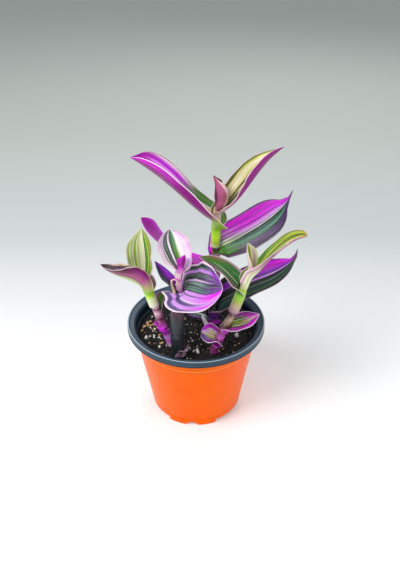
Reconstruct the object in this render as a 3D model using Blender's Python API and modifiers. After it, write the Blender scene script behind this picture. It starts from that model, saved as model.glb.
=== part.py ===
"""A small pink-and-green striped tradescantia in a two-coloured nursery pot.

Four stems stand in the soil of a round 105 mm pot.  Each leaf is one thin sheet: a
rolled sheath around its stem that opens into a channel-shaped, waved blade.
Lengths below are in millimetres and angles in degrees; the model itself is in metres.
+Z is up, the front is -Y, and the origin is under the middle of the pot.
"""
import math
import random
from dataclasses import dataclass

import bpy
import bmesh
import numpy as np
from mathutils import Matrix, Vector

MM = 0.001
GAP = 0.3            # air left between neighbouring pieces

# ---- pot -------------------------------------------------------------------------
POT_HEIGHT = 77.4
RIM_RADIUS = 52.5
RIM_DEPTH = 5.4      # height of the rolled rim
FOOT_RADIUS = 35.4
FOOT_BAND = 6.6      # height of the band above the table
WALL_LOW = 35.9      # outer radius just above the foot band
WALL_HIGH = 46.4     # outer radius just below the collar
COLLAR_RADIUS = 47.8
COLLAR_DEPTH = 4.8
LAYER = 0.9          # thickness of the orange layer and of the black one
FLOOR_LIFT = 3.6     # the floor is raised this far between the feet
FLOOR_THICK = 1.2
PAD_RADIUS = 12.0    # flat middle of the floor, level with the feet
FOOT_WALL = 1.5
FOOT_TURN = -5.0     # the feet are turned this far from the front
NOTCH_WIDTH = 9.0
NOTCH_HEIGHT = 3.2
FOOT_SPACE = 34.6    # opening between two feet
SPACE_HEIGHT = 3.0
SIDES = 48           # steps round the pot

# ---- soil ------------------------------------------------------------------------
SOIL_LEVEL = 67.4
SOIL_ROUGH = 1.0
EDGE_DIP = -1.2      # the soil is lower where it meets the liner

# ---- leaves ----------------------------------------------------------------------
BLADE = 0.7          # thickness of every leaf
SHEATH_CLEAR = 0.5   # sheath to stem


@dataclass
class Stem:
    """A stem through points (x, y, z) with a radius at each, foot first."""
    points: list
    radii: list

    def level(self, z):
        """Centre, direction and radius at a height."""
        heights = [p[2] for p in self.points]
        k = max(i for i in range(len(heights) - 1) if heights[i] <= z or i == 0)
        low, high = np.array(self.points[k]), np.array(self.points[k + 1])
        share = (z - low[2]) / (high[2] - low[2])
        radius = self.radii[k] + share * (self.radii[k + 1] - self.radii[k])
        return low + share * (high - low), unit(high - low), radius


@dataclass
class Leaf:
    """One leaf.  heading, rise, roll and cup are given at the blade's start, middle
    and tip: where it points, how steeply it climbs, how it tips sideways, and how far
    each half is folded up from the midrib."""
    stem: str
    height: float            # of its node on the stem
    side: float              # side of the stem that carries the midrib
    sheath: float
    length: float
    width: float
    heading: tuple
    rise: tuple
    roll: tuple
    cup: tuple
    color: tuple
    radius: float = 0.0      # of the sheath, or 0 to follow the stem
    wrap: float = 0.94       # share of the way round the stem that the sheath reaches
    base: float = 0.75       # width at the blade's start, as a share of the widest
    widest: float = 0.5
    point: tuple = (2.6, 1.15)
    opening: float = 0.15    # share of the blade over which the sheath opens
    turning: float = 0.12    # share over which it then leaves the stem's direction
    wave: float = 0.5        # height of the waves in the margin
    waves: float = 2.5
    lag: float = 0.8         # shift between the waves of the two margins
    tail: float = 0.0        # share of the blade that is its narrow drawn-out point
    hook: float = 0.0        # how far the point turns up
    lobe: tuple = (0.0, 0.0) # how far the margins at -1 and +1 reach back past the stem
    rows: int = 14
    columns: int = 10


STEMS = {
    "tall": Stem([(13.6, 8.9, 58), (13.6, 8.9, 84), (13.8, 8.9, 122), (14.1, 8.9, 134),
                  (14.8, 8.9, 150), (15.1, 8.9, 157)],
                 [3.1, 3.1, 2.8, 2.6, 1.5, 0.5]),
    "thick": Stem([(-13, -31.7, 58), (-13, -31.7, 104), (-12.5, -31.7, 112),
                   (-11.6, -31.7, 119), (-11, -31.7, 134), (-10, -31.7, 141)],
                  [5.0, 5.0, 3.3, 2.3, 2.1, 1.0]),
    "left": Stem([(-14.9, -20, 58), (-22, -20, 79), (-26.3, -20, 92),
                  (-28.8, -20, 101), (-32, -20, 112), (-34, -20, 119)],
                 [2.8, 2.8, 2.8, 2.6, 1.6, 1.0]),
    "right": Stem([(9, -28.5, 58), (17.2, -28.5, 78.9), (19.4, -28.5, 87.4),
                   (26.3, -28.5, 102.6), (30.7, -28.5, 117), (32.4, -28.5, 122.5)],
                  [2.8, 2.8, 2.8, 2.5, 1.5, 0.5]),
}
STEM_COLORS = {
    "tall": (0.16, 0.10, 0.06),
    "thick": (0.05, 0.07, 0.06),
    "left": (0.45, 0.10, 0.25),
    "right": (0.40, 0.18, 0.15),
}

DARK_GREEN = (0.03, 0.09, 0.05)
MAGENTA = (0.45, 0.01, 0.35)
LILAC = (0.65, 0.35, 0.62)
LIME = (0.32, 0.45, 0.06)
ROSE = (0.42, 0.10, 0.20)
CREAM = (0.55, 0.50, 0.22)
ROUND_TIP = (2.2, 0.6)
SMALL = {"rows": 10, "columns": 8, "opening": 0.3, "turning": 0.25, "wave": 0.3}
TINY = {"rows": 7, "columns": 8, "opening": 0.7, "turning": 0.5, "wave": 0.0}

LEAVES = {
    "tall_leaf_1": Leaf("tall", 74.5, 0, 1.5, 89, 33, (-10, -11, 13), (62, 31, 72),
                        (-47, -25, -13), (36, 56, 21), DARK_GREEN, radius=3.8,
                        base=0.55, widest=0.45, opening=0.12, turning=0.1,
                        point=(2.8, 0.85), tail=0.12, hook=26),
    "tall_leaf_2": Leaf("tall", 69.6, 176, 1.2, 33.3, 25.4, (190, 182, 189),
                        (21, 23, 25), (34, 28, 28), (44, 34, 27), DARK_GREEN,
                        radius=5.28, base=0.79, widest=0.49, opening=0.23, turning=0.28,
                        rows=11),
    "tall_leaf_3": Leaf("tall", 101, 180, 4, 79, 28, (178, 194, 174), (22, 42, 62),
                        (10, -7, 23), (60, 26, 40), MAGENTA, opening=0.14, turning=0.11,
                        point=(3.0, 0.8)),
    "tall_leaf_4": Leaf("tall", 121.5, 0, 5, 77, 28, (-6, 6, 4), (30, 32, 63),
                        (-38, -50, -4), (47, 19, 21), DARK_GREEN, base=0.84,
                        turning=0.11, point=(3.4, 0.75), tail=0.16, hook=16,
                        widest=0.52),
    "tall_leaf_5": Leaf("tall", 136, 180, 14, 82, 38, (188, 191, 171), (27, 47, 24),
                        (4, 0, -4), (45, 55, 86), MAGENTA, widest=0.45, opening=0.12,
                        turning=0.08, base=0.8, point=(3.4, 0.65), tail=0.03, hook=0),
    "tall_leaf_6": Leaf("tall", 150.7, -7, 6.3, 69.8, 27.5, (-4, 5, -6), (36, 53, 38),
                        (9, -10, 31), (61, 68, 66), CREAM, base=0.7, widest=0.47,
                        opening=0.13, turning=0.07, wave=2.2, waves=1.2, lag=3.1),
    "tall_leaf_7": Leaf("tall", 159, 190, 4, 28, 20, (192, 184, 152), (83, 88, 69),
                        (-12, -30, 0), (125, 100, 130), ROSE, radius=0.95, base=0.2,
                        widest=0.55, point=(2.0, 1.3), **SMALL),
    "thick_leaf_1": Leaf("thick", 119, -20, 3, 34.5, 44.5, (-18, -31, -21), (-22, 14, 46),
                         (-26, -29, -25), (40, 40, 18), LILAC, radius=4.52, base=0.25,
                         widest=0.26, point=(2.2, 0.55), opening=0.14, turning=0.1,
                         lobe=(8, 0)),
    "thick_leaf_2": Leaf("thick", 118, 180, 1, 31, 10, (169, 169, 164), (18, 45, 69),
                         (26, 18, 12), (43, 34, 31), DARK_GREEN, radius=2.9, wrap=0.7,
                         **SMALL),
    "thick_leaf_3": Leaf("thick", 134, 120, 6, 28, 24, (125, 122, 106), (52, 50, 82),
                         (7, 16, -5), (51, 46, 49), LILAC, radius=2.7, base=0.6,
                         point=ROUND_TIP, opening=0.19, turning=0.1, rows=11),
    "thick_leaf_4": Leaf("thick", 139.5, -60, 3, 11, 10, (-40, -41, -50), (88, 72, 86),
                         (-10, -9, 0), (92, 80, 57), MAGENTA, radius=1.5, base=0.4,
                         widest=0.4, **TINY),
    "left_leaf_1": Leaf("left", 94.8, 48, 1.6, 16.7, 9.5, (58, 41, 40), (61, 68, 43),
                        (2, 0, 5), (61, 50, 38), DARK_GREEN, wrap=0.6, base=0.89,
                        widest=0.57, opening=0.22, turning=0.22, wave=0.3, rows=10,
                        columns=8),
    "left_leaf_2": Leaf("left", 103.9, 179, 11.2, 41.7, 31.3, (179, 200, 173),
                        (67, 33, 52), (17, -24, -9), (101, 80, 30), ROSE, radius=3.12,
                        base=0.7, widest=0.4, opening=0.12, turning=0.16, wave=2.3,
                        rows=13, lag=-0.3, waves=1.0),
    "left_leaf_3": Leaf("left", 115.0, 67, 8.3, 42.6, 24.6, (63, 75, 97), (66, 94, 88),
                        (-24, 12, 7), (40, 66, 30), LIME, base=0.13, widest=0.48,
                        opening=0.13, turning=0.16, rows=13),
    "right_leaf_1": Leaf("right", 75, 180, 1, 16, 21, (190, 182, 178), (32, 26, 25),
                         (-5, 5, 25), (50, 31, 4), MAGENTA, wrap=0.8, point=ROUND_TIP,
                         **SMALL),
    "right_leaf_2": Leaf("right", 88, 4, 1, 27.1, 16.3, (-11, 4, 9), (4, 17, 41),
                         (-29, -18, -25), (54, 33, 37), MAGENTA, radius=3.69, wrap=0.7,
                         base=0.8, widest=0.41, opening=0.26, turning=0.18, wave=0.3,
                         rows=10, columns=8, lobe=(4, 0)),
    "right_leaf_3": Leaf("right", 104.2, 165, 13.6, 43.2, 16.9, (150, 145, 152),
                         (60, 24, 3), (25, 2, 21), (59, 42, 32), DARK_GREEN,
                         radius=3.28, base=0.91, widest=0.37, opening=0.2, turning=0.14,
                         rows=12),
    "right_leaf_4": Leaf("right", 115.9, -1, 8.8, 58.9, 23, (-13, 4, -32), (35, 51, 20),
                         (32, 14, -8), (112, 40, 60), LIME, base=0.69, widest=0.36,
                         opening=0.18, turning=0.14, point=(3.2, 0.6)),
    "right_leaf_5": Leaf("right", 123.4, 134, 7.1, 28.1, 13.8, (136, 137, 114),
                         (89, 87, 71), (-3, -16, -7), (89, 82, 45), LIME, radius=0.93,
                         base=0.19, widest=0.54, opening=0.29, turning=0.25, wave=0.3,
                         rows=10, columns=8),
    "thick_scale": Leaf("thick", 69.5, -40, 1, 8, 9, (-35, -30, -30), (30, 8, 0),
                        (0, 0, 0), (60, 40, 30), (0.10, 0.05, 0.06), wrap=0.4, **TINY),
    "left_scale": Leaf("left", 83, 180, 2, 6, 9, (185, 185, 190), (40, 20, 10),
                       (0, 0, 0), (80, 50, 30), MAGENTA, wrap=0.6, **TINY),
    "right_scale": Leaf("right", 69.6, 240, 1, 5, 6, (235, 235, 235), (15, 0, 0),
                        (0, 0, 0), (70, 50, 40), MAGENTA, radius=3.6, wrap=0.5, **TINY),
}


# ---- helpers ---------------------------------------------------------------------
def unit(v):
    return v / np.linalg.norm(v, axis=-1, keepdims=True)


def ease(x):
    x = np.clip(x, 0, 1)
    return x * x * (3 - 2 * x)


def along(keys, t):
    """The smooth value through three keys, at the start, middle and end."""
    start, middle, end = keys
    return (start * (1 - t) * (1 - 2 * t) + middle * 4 * t * (1 - t)
            + end * t * (2 * t - 1))


def compass(heading, rise):
    """Unit vector at a heading round +Z from +X and a climb above the level."""
    return np.stack([np.cos(rise) * np.cos(heading), np.cos(rise) * np.sin(heading),
                     np.sin(rise)], -1)


def blade_width(leaf, t):
    """Half width along the blade, as a share of the widest."""
    rising = leaf.base + (1 - leaf.base) * np.sin(np.pi / 2 * np.clip(t / leaf.widest, 0, 1))
    end = 1 - 0.8 * leaf.tail
    rest = np.clip((t - leaf.widest) / (end - leaf.widest), 0, 1)
    power, sharpness = leaf.point
    falling = np.clip(1 - rest ** power, 0, 1) ** sharpness
    width = np.where(t < leaf.widest, rising, falling)
    if leaf.tail:
        width = np.maximum(width, 0.16 * np.clip((1 - t) / leaf.tail, 0, 1) ** 0.7)
    return width


def leaf_frames(leaf, stem):
    """Stations down the leaf: place along it, midrib point, tangent, side and face."""
    foot, grow, stem_radius = stem.level(leaf.height)
    radius = leaf.radius or stem_radius + SHEATH_CLEAR
    out = compass(math.radians(leaf.side), 0.0)
    out = unit(out - grow * (out @ grow))
    sheath_rows = max(2, leaf.rows // 5)
    blade = np.linspace(0, 1, leaf.rows - sheath_rows + 1)
    if leaf.tail:
        blade = np.append(blade[:-1] * (1 - leaf.tail) / blade[-2], (1 - leaf.tail / 2, 1))
    t = np.concatenate([np.linspace(-1, 0, sheath_rows, endpoint=False), blade])
    blade = np.clip(t, 0, 1)
    heading = np.radians(along(leaf.heading, blade))
    rise = np.radians(along(leaf.rise, blade))
    if leaf.tail:
        rise = rise + math.radians(leaf.hook) * ease((blade - 1 + leaf.tail) / leaf.tail)
    roll = np.radians(along(leaf.roll, blade))[:, None]
    tangent = compass(heading, rise)
    face = compass(heading, rise + math.pi / 2)
    face = np.cos(roll) * face + np.sin(roll) * np.cross(face, tangent)
    leaving = ease((t - leaf.opening / 2) / leaf.turning)[:, None]
    tangent = unit((1 - leaving) * grow + leaving * tangent)
    face = (1 - leaving) * -out + leaving * face
    face = unit(face - tangent * np.sum(face * tangent, -1, keepdims=True))
    side = np.cross(face, tangent)
    reach = np.where(t < 0, t * leaf.sheath, t * leaf.length)
    steps = unit(tangent[:-1] + tangent[1:]) * np.diff(reach)[:, None]
    start = foot + out * radius
    midrib = start + np.concatenate([np.zeros((1, 3)), np.cumsum(steps, 0)])
    return t, midrib, side, face, radius, compass(heading, rise)


def leaf_grid(leaf, stem):
    """Points of the leaf's upper face in rows from the node to the tip."""
    t, midrib, side, face, radius, flow = leaf_frames(leaf, stem)
    blade = np.clip(t, 0, 1)
    opened = ease(t / leaf.opening)
    spread = ease(t / (0.6 * leaf.opening))
    half = ((1 - spread) * math.pi * leaf.wrap * radius
            + spread * leaf.width / 2 * blade_width(leaf, blade))
    fold = (1 - opened) * math.pi * leaf.wrap + opened * np.radians(along(leaf.cup, blade))
    across = np.linspace(-1, 1, leaf.columns + 1)
    share = np.abs(across)[None, :]
    curl = np.maximum(fold[:, None] * share, 1e-6)
    # each half is an arc that starts level at the midrib and ends at the fold angle
    radius_row = half[:, None] / fold[:, None]
    sideways = radius_row * np.sin(curl) * np.sign(across)
    upward = radius_row * (1 - np.cos(curl))
    ripple = np.sin(2 * math.pi * leaf.waves * blade[:, None] + leaf.lag * np.sign(across))
    ripple = leaf.wave * ripple * share ** 2 * np.sin(math.pi * blade)[:, None]
    sideways = sideways - ripple * np.sin(curl) * np.sign(across)
    upward = upward + ripple * np.cos(curl)
    back = ease(t / leaf.opening) * (1 - ease((t - 0.1) / 0.8))
    back = back[:, None] * share ** 1.6 * np.where(across < 0, *leaf.lobe)
    return (midrib[:, None] + sideways[..., None] * side[:, None]
            + upward[..., None] * face[:, None] - back[..., None] * flow[:, None])


# ---- building --------------------------------------------------------------------
def clear_scene():
    for item in list(bpy.data.objects):
        bpy.data.objects.remove(item, do_unlink=True)


def make_collection(name):
    collection = bpy.data.collections.new(name)
    bpy.context.scene.collection.children.link(collection)
    return collection


def make_material(name, color, roughness):
    material = bpy.data.materials.new(name)
    material.use_nodes = True
    shader = material.node_tree.nodes["Principled BSDF"]
    shader.inputs["Base Color"].default_value = (*color, 1.0)
    shader.inputs["Roughness"].default_value = roughness
    shader.inputs["Metallic"].default_value = 0.0
    return material


def add_object(name, data, collection, color=None, roughness=0.5):
    item = bpy.data.objects.new(name, data)
    collection.objects.link(item)
    if color is not None:
        data.materials.append(make_material(name, color, roughness))
    return item


def add_leaf(name, leaf, collection):
    """The upper face as a triangulated sheet, thickened downwards by Solidify."""
    grid = leaf_grid(leaf, STEMS[leaf.stem]) * MM
    mesh = bmesh.new()
    rows = [[mesh.verts.new(p) for p in row] for row in grid[:-1]]
    tip = mesh.verts.new(grid[-1].mean(axis=0))
    for low, high in zip(rows, rows[1:]):
        for j in range(leaf.columns):
            corners = (low[j], low[j + 1], high[j + 1], high[j])
            cut = 0 if 2 * j < leaf.columns else 1
            turned = corners[cut:] + corners[:cut]
            mesh.faces.new((turned[0], turned[1], turned[2]))
            mesh.faces.new((turned[0], turned[2], turned[3]))
    for a, b in zip(rows[-1], rows[-1][1:]):
        mesh.faces.new((a, b, tip))
    data = bpy.data.meshes.new(name)
    mesh.to_mesh(data)
    mesh.free()
    data.shade_smooth()
    item = add_object(name, data, collection, leaf.color, 0.45)
    solid = item.modifiers.new("thickness", "SOLIDIFY")
    solid.thickness = BLADE * MM
    solid.offset = 1.0    # the sheet's faces look down, away from its upper side
    return item


def add_tube(name, points, radii, collection, color, roughness=0.45):
    curve = bpy.data.curves.new(name, "CURVE")
    curve.dimensions = "3D"
    curve.fill_mode = "FULL"
    curve.bevel_depth = MM
    curve.bevel_resolution = 2
    curve.use_fill_caps = True
    spline = curve.splines.new("POLY")
    spline.points.add(len(points) - 1)
    for control, place, radius in zip(spline.points, points, radii):
        control.co = (place[0] * MM, place[1] * MM, place[2] * MM, 1.0)
        control.radius = radius
    return add_object(name, curve, collection, color, roughness)


def add_stem(name, stem, nodes, collection, color):
    """A stem with a slight swelling just under each leaf's node."""
    swell = 0.3
    stations = [(p[2], 0.0) for p in stem.points]
    for height in [node for node in nodes if node > SOIL_LEVEL + 5]:
        stations += [(height - 3.0, 0.0), (height - 1.5, swell), (height - 0.4, 0.0)]
    points, radii = [], []
    for height, extra in sorted(stations):
        centre, _, radius = stem.level(height)
        if points and height - points[-1][2] < 0.5:
            continue
        points.append(centre)
        radii.append(radius + extra)
    return add_tube(name, points, radii, collection, color)


def add_turned(name, profile, collection, color, roughness):
    """A profile of (radius, height) turned about the pot's axis, outer side downwards."""
    data = bpy.data.meshes.new(name)
    corners = [(r * MM, 0.0, z * MM) for r, z in profile]
    data.from_pydata(corners, [(i, i + 1) for i in range(len(corners) - 1)], [])
    item = add_object(name, data, collection, color, roughness)
    screw = item.modifiers.new("turning", "SCREW")
    screw.steps = SIDES
    screw.render_steps = SIDES
    screw.use_merge_vertices = True
    screw.merge_threshold = 0.00001
    screw.use_smooth_shade = True
    return item


def wall_radius(z):
    """Outer radius of the orange wall between the foot band and the collar."""
    top = POT_HEIGHT - RIM_DEPTH - COLLAR_DEPTH
    return WALL_LOW + (WALL_HIGH - WALL_LOW) * (z - FOOT_BAND) / (top - FOOT_BAND)


def cut(item, cutter):
    boolean = item.modifiers.new("cut " + cutter.name, "BOOLEAN")
    boolean.operation = "DIFFERENCE"
    boolean.solver = "EXACT"
    boolean.object = cutter


def hide_cutter(item):
    item.hide_render = True
    item.display_type = "WIRE"


def front_angle(turn):
    """Angle round +Z for a turn given from the front towards the right."""
    return math.radians(turn - 90.0)


def add_pot(parts, cutters):
    under_rim = POT_HEIGHT - RIM_DEPTH
    collar_foot = under_rim - COLLAR_DEPTH
    floor = FLOOR_LIFT + FLOOR_THICK
    inner = wall_radius(floor) - LAYER
    shell = add_turned("pot_shell", [
        (0, floor), (inner, floor),
        (wall_radius(collar_foot) - LAYER, collar_foot),
        (COLLAR_RADIUS - LAYER, collar_foot + 1.2),
        (COLLAR_RADIUS - LAYER, under_rim - GAP),
        (COLLAR_RADIUS, under_rim - GAP), (COLLAR_RADIUS, collar_foot + 0.4),
        (COLLAR_RADIUS - 0.4, collar_foot),
        (WALL_HIGH, collar_foot - 0.3),
        (WALL_LOW, FOOT_BAND + 0.2), (FOOT_RADIUS + 0.1, FOOT_BAND - 0.2),
        (FOOT_RADIUS, 0.5), (FOOT_RADIUS - 0.4, 0),
        (FOOT_RADIUS - FOOT_WALL, 0), (FOOT_RADIUS - FOOT_WALL, FLOOR_LIFT),
        (PAD_RADIUS + 2, FLOOR_LIFT), (PAD_RADIUS, 0), (0, 0),
    ], parts, (0.86, 0.14, 0.02), 0.35)
    for foot in range(3):
        turn = FOOT_TURN + 120 * foot
        cut(shell, add_notch(f"notch_{foot}", front_angle(turn), cutters))
        cut(shell, add_space(f"space_{foot}", front_angle(turn + 60), cutters))
    inset = LAYER + GAP
    floor += GAP
    lining_floor = floor + LAYER
    add_turned("pot_liner", [
        (0, lining_floor),
        (wall_radius(lining_floor) - inset - LAYER, lining_floor),
        (wall_radius(collar_foot) - inset - LAYER, collar_foot),
        (COLLAR_RADIUS - inset - LAYER, collar_foot + 1.2),
        (COLLAR_RADIUS - 1.9, POT_HEIGHT - 6.6), (COLLAR_RADIUS - 1.3, POT_HEIGHT - 4.6),
        (COLLAR_RADIUS + 0.6, POT_HEIGHT - 3.0), (RIM_RADIUS - 1.7, POT_HEIGHT - 1.3),
        (RIM_RADIUS - 1.2, POT_HEIGHT - 0.2),
        (RIM_RADIUS - 0.5, POT_HEIGHT), (RIM_RADIUS - 0.1, POT_HEIGHT - 0.5),
        (RIM_RADIUS - 0.3, under_rim + 1.5), (RIM_RADIUS, under_rim + 0.7),
        (RIM_RADIUS - 0.5, under_rim), (COLLAR_RADIUS - inset, under_rim),
        (COLLAR_RADIUS - inset, collar_foot + 1.2),
        (wall_radius(collar_foot) - inset, collar_foot),
        (wall_radius(floor) - inset, floor), (0, floor),
    ], parts, (0.03, 0.045, 0.06), 0.4)


def add_notch(name, angle, cutters):
    """An arch cut from the middle of a foot: a flattened cylinder lying radially."""
    mesh = bmesh.new()
    bmesh.ops.create_cone(mesh, cap_ends=True, segments=16, radius1=NOTCH_WIDTH / 2 * MM,
                          radius2=NOTCH_WIDTH / 2 * MM, depth=3 * FOOT_WALL * MM)
    bmesh.ops.transform(mesh, verts=mesh.verts, matrix=(
        Matrix.Rotation(angle, 4, "Z")
        @ Matrix.Translation((FOOT_RADIUS * MM, 0, 0))
        @ Matrix.Diagonal((1, 1, 2 * NOTCH_HEIGHT / NOTCH_WIDTH, 1))
        @ Matrix.Rotation(math.pi / 2, 4, "Y")))
    return add_cutter(name, mesh, cutters)


def add_space(name, angle, cutters):
    """The opening between two feet."""
    mesh = bmesh.new()
    bmesh.ops.create_cube(mesh, size=1.0)
    bmesh.ops.transform(mesh, verts=mesh.verts, matrix=(
        Matrix.Rotation(angle, 4, "Z")
        @ Matrix.Translation(((FOOT_RADIUS - 2.5) * MM, 0, 0))
        @ Matrix.Diagonal((10 * MM, FOOT_SPACE * MM, 2 * SPACE_HEIGHT * MM, 1))))
    return add_cutter(name, mesh, cutters)


def add_cutter(name, mesh, cutters):
    data = bpy.data.meshes.new(name)
    mesh.to_mesh(data)
    mesh.free()
    item = add_object(name, data, cutters)
    hide_cutter(item)
    return item


def soil_height(x, y, rough):
    """Height of the soil's top: a few broad swells and seeded crumbs."""
    swell = 0.5 * math.sin(0.13 * x + 0.6) * math.cos(0.11 * y - 0.4)
    return SOIL_LEVEL + swell + rough


def add_soil(parts, cutters):
    """A plug that fills the liner, with a rough top and a plain hole for each stem."""
    rings = 8
    lining = LAYER + GAP + LAYER + GAP
    collar_foot = POT_HEIGHT - RIM_DEPTH - COLLAR_DEPTH
    top_radius = wall_radius(collar_foot) - lining - 0.2
    bottom = FLOOR_LIFT + FLOOR_THICK + GAP + LAYER + GAP
    draw = random.Random(4)
    mesh = bmesh.new()
    centre = mesh.verts.new((0, 0, soil_height(0, 0, 0) * MM))
    circles = []
    for ring in range(1, rings + 1):
        radius = top_radius * ring / rings
        circle = []
        for k in range(SIDES):
            angle = 2 * math.pi * k / SIDES
            x, y = radius * math.cos(angle), radius * math.sin(angle)
            rough = draw.uniform(-SOIL_ROUGH, SOIL_ROUGH) * min(1.0, ring / 4)
            if ring == rings:
                rough = EDGE_DIP
            circle.append(mesh.verts.new((x * MM, y * MM, soil_height(x, y, rough) * MM)))
        circles.append(circle)
    low = wall_radius(bottom) - lining
    circles.append([mesh.verts.new((low * math.cos(2 * math.pi * k / SIDES) * MM,
                                    low * math.sin(2 * math.pi * k / SIDES) * MM,
                                    bottom * MM)) for k in range(SIDES)])
    for k in range(SIDES):
        after = (k + 1) % SIDES
        mesh.faces.new((centre, circles[0][k], circles[0][after]))
        for inner, outer in zip(circles, circles[1:]):
            mesh.faces.new((inner[k], outer[k], outer[after], inner[after]))
    mesh.faces.new(circles[-1][::-1])
    bmesh.ops.triangulate(mesh, faces=mesh.faces)
    bmesh.ops.recalc_face_normals(mesh, faces=mesh.faces)
    data = bpy.data.meshes.new("soil")
    mesh.to_mesh(data)
    mesh.free()
    soil = add_object("soil", data, parts, (0.02, 0.013, 0.01), 0.95)
    for name, stem in STEMS.items():
        low, high = Vector(stem.points[0]), Vector(stem.points[1])
        radius = stem.radii[0]
        cut(soil, add_hole("hole_" + name, low, high, radius, cutters))
    shoot_low, shoot_high = (Vector(p) for p in SHOOT_POINTS[:2])
    cut(soil, add_hole("hole_shoot", shoot_low, shoot_high, SHOOT_RADII[0], cutters))


def add_hole(name, low, high, radius, cutters):
    """A round cutter along a stem's foot, a little wider and deeper than the stem."""
    grow = (high - low).normalized()
    depth = 24.0
    middle = low - grow * GAP + grow * (depth / 2)
    mesh = bmesh.new()
    bmesh.ops.create_cone(mesh, cap_ends=True, segments=16, depth=depth * MM,
                          radius1=(radius + 1.3 * GAP) * MM, radius2=(radius + 1.3 * GAP) * MM)
    bmesh.ops.transform(mesh, verts=mesh.verts, matrix=(
        Matrix.Translation(middle * MM)
        @ grow.to_track_quat("Z", "Y").to_matrix().to_4x4()))
    return add_cutter(name, mesh, cutters)


SHOOT_POINTS = [(10.4, -8, 60), (9.6, -8, 68), (8, -8, 77), (4.6, -8, 86)]
SHOOT_RADII = [1.6, 1.6, 1.7, 1.2]


def add_dry_stalk(parts):
    """A withered flower stalk whose end curls over."""
    points = [(-13.9, -38.6, 126.1), (-15.2, -38.6, 130.5), (-16.0, -38.6, 135.5)]
    radii = [0.9, 0.8, 0.6]
    for k in range(1, 6):
        angle = math.radians(50 * k)
        points.append((-16.0 + 2.0 * (1 - math.cos(angle)), -38.6 - 0.2 * k,
                       135.5 + 2.0 * math.sin(angle)))
        radii.append(0.45)
    add_tube("dry_stalk", points, radii, parts, (0.45, 0.30, 0.16), 0.8)


def build():
    clear_scene()
    parts = make_collection("potted_tradescantia")
    cutters = make_collection("cutters")
    add_pot(parts, cutters)
    add_soil(parts, cutters)
    for name, stem in STEMS.items():
        nodes = [leaf.height for leaf in LEAVES.values() if leaf.stem == name]
        add_stem(name + "_stem", stem, nodes, parts, STEM_COLORS[name])
    for name, leaf in LEAVES.items():
        add_leaf(name, leaf, parts)
    add_tube("white_shoot", SHOOT_POINTS, SHOOT_RADII, parts, (0.75, 0.65, 0.62), 0.5)
    add_dry_stalk(parts)


build()
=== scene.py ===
"""Looks of the potted tradescantia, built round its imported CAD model.

Every leaf, stem and scale gets a finer surface on the same form as its CAD solid, with
striped procedural materials; the pot and the soil get finer surfaces and loose bits.
Lengths are in millimetres and angles in degrees until a mesh is made, in metres.
"""
import math
import random
from dataclasses import dataclass

import bmesh
import bpy
import numpy as np
from mathutils import Euler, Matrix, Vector, noise


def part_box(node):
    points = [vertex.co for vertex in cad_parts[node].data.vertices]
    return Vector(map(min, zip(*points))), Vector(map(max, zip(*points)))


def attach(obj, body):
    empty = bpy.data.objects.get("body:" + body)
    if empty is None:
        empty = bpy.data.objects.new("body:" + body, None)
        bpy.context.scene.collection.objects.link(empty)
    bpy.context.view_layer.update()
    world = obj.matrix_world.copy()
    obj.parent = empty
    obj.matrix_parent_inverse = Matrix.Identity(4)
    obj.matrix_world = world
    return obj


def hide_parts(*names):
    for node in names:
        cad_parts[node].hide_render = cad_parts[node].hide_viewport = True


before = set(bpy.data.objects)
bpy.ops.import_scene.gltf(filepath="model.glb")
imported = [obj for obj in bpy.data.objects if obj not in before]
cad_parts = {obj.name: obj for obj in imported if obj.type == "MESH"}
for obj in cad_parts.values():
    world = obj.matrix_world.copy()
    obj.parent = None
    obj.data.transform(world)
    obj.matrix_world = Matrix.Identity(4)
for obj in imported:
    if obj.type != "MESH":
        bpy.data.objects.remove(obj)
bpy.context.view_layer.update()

MM = 0.001
RIM_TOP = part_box("pot_liner")[1][2] / MM
RIM_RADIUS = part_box("pot_liner")[1][0] / MM

# ---- form of the stems and leaves, as in the CAD source ----
BLADE = 0.7            # thickness of a leaf
SHEATH_CLEAR = 0.5     # from the stem's surface to the sheath
TAIL_WIDTH = 0.16      # of a drawn-out point, as a share of the widest


@dataclass
class Stem:
    """A stem through points (x, y, z) with a radius at each, foot first."""
    points: list
    radii: list

    def level(self, z):
        """Centre, direction and radius at a height."""
        heights = [p[2] for p in self.points]
        k = max(i for i in range(len(heights) - 1) if heights[i] <= z or i == 0)
        low, high = np.array(self.points[k]), np.array(self.points[k + 1])
        share = (z - low[2]) / (high[2] - low[2])
        radius = self.radii[k] + share * (self.radii[k + 1] - self.radii[k])
        return low + share * (high - low), unit(high - low), radius


@dataclass
class Leaf:
    """One leaf.  heading, rise, roll and cup are given at the blade's start, middle
    and tip: where it points, how steeply it climbs, how it tips sideways, and how far
    each half is folded up from the midrib."""
    stem: str
    height: float            # of its node on the stem
    side: float              # side of the stem that carries the midrib
    sheath: float            # length of the sheath
    length: float
    width: float
    heading: tuple
    rise: tuple
    roll: tuple
    cup: tuple
    radius: float = 0.0      # of the sheath, or 0 to follow the stem
    wrap: float = 0.94       # share of the way round the stem that the sheath reaches
    base: float = 0.75       # width at the blade's start, as a share of the widest
    widest: float = 0.5      # place of the widest part, as a share of the blade
    point: tuple = (2.6, 1.15)  # powers of the curve by which it narrows to the tip
    opening: float = 0.15    # share of the blade over which the sheath opens
    turning: float = 0.12    # share over which it then leaves the stem's direction
    wave: float = 0.5        # height of the waves in the margin
    waves: float = 2.5       # number of them
    lag: float = 0.8         # shift between the waves of the two margins
    tail: float = 0.0        # share of the blade that is its narrow drawn-out point
    hook: float = 0.0        # how far the point turns up
    lobe: tuple = (0.0, 0.0)    # how far the margins at -1 and +1 reach back past the stem


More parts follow.
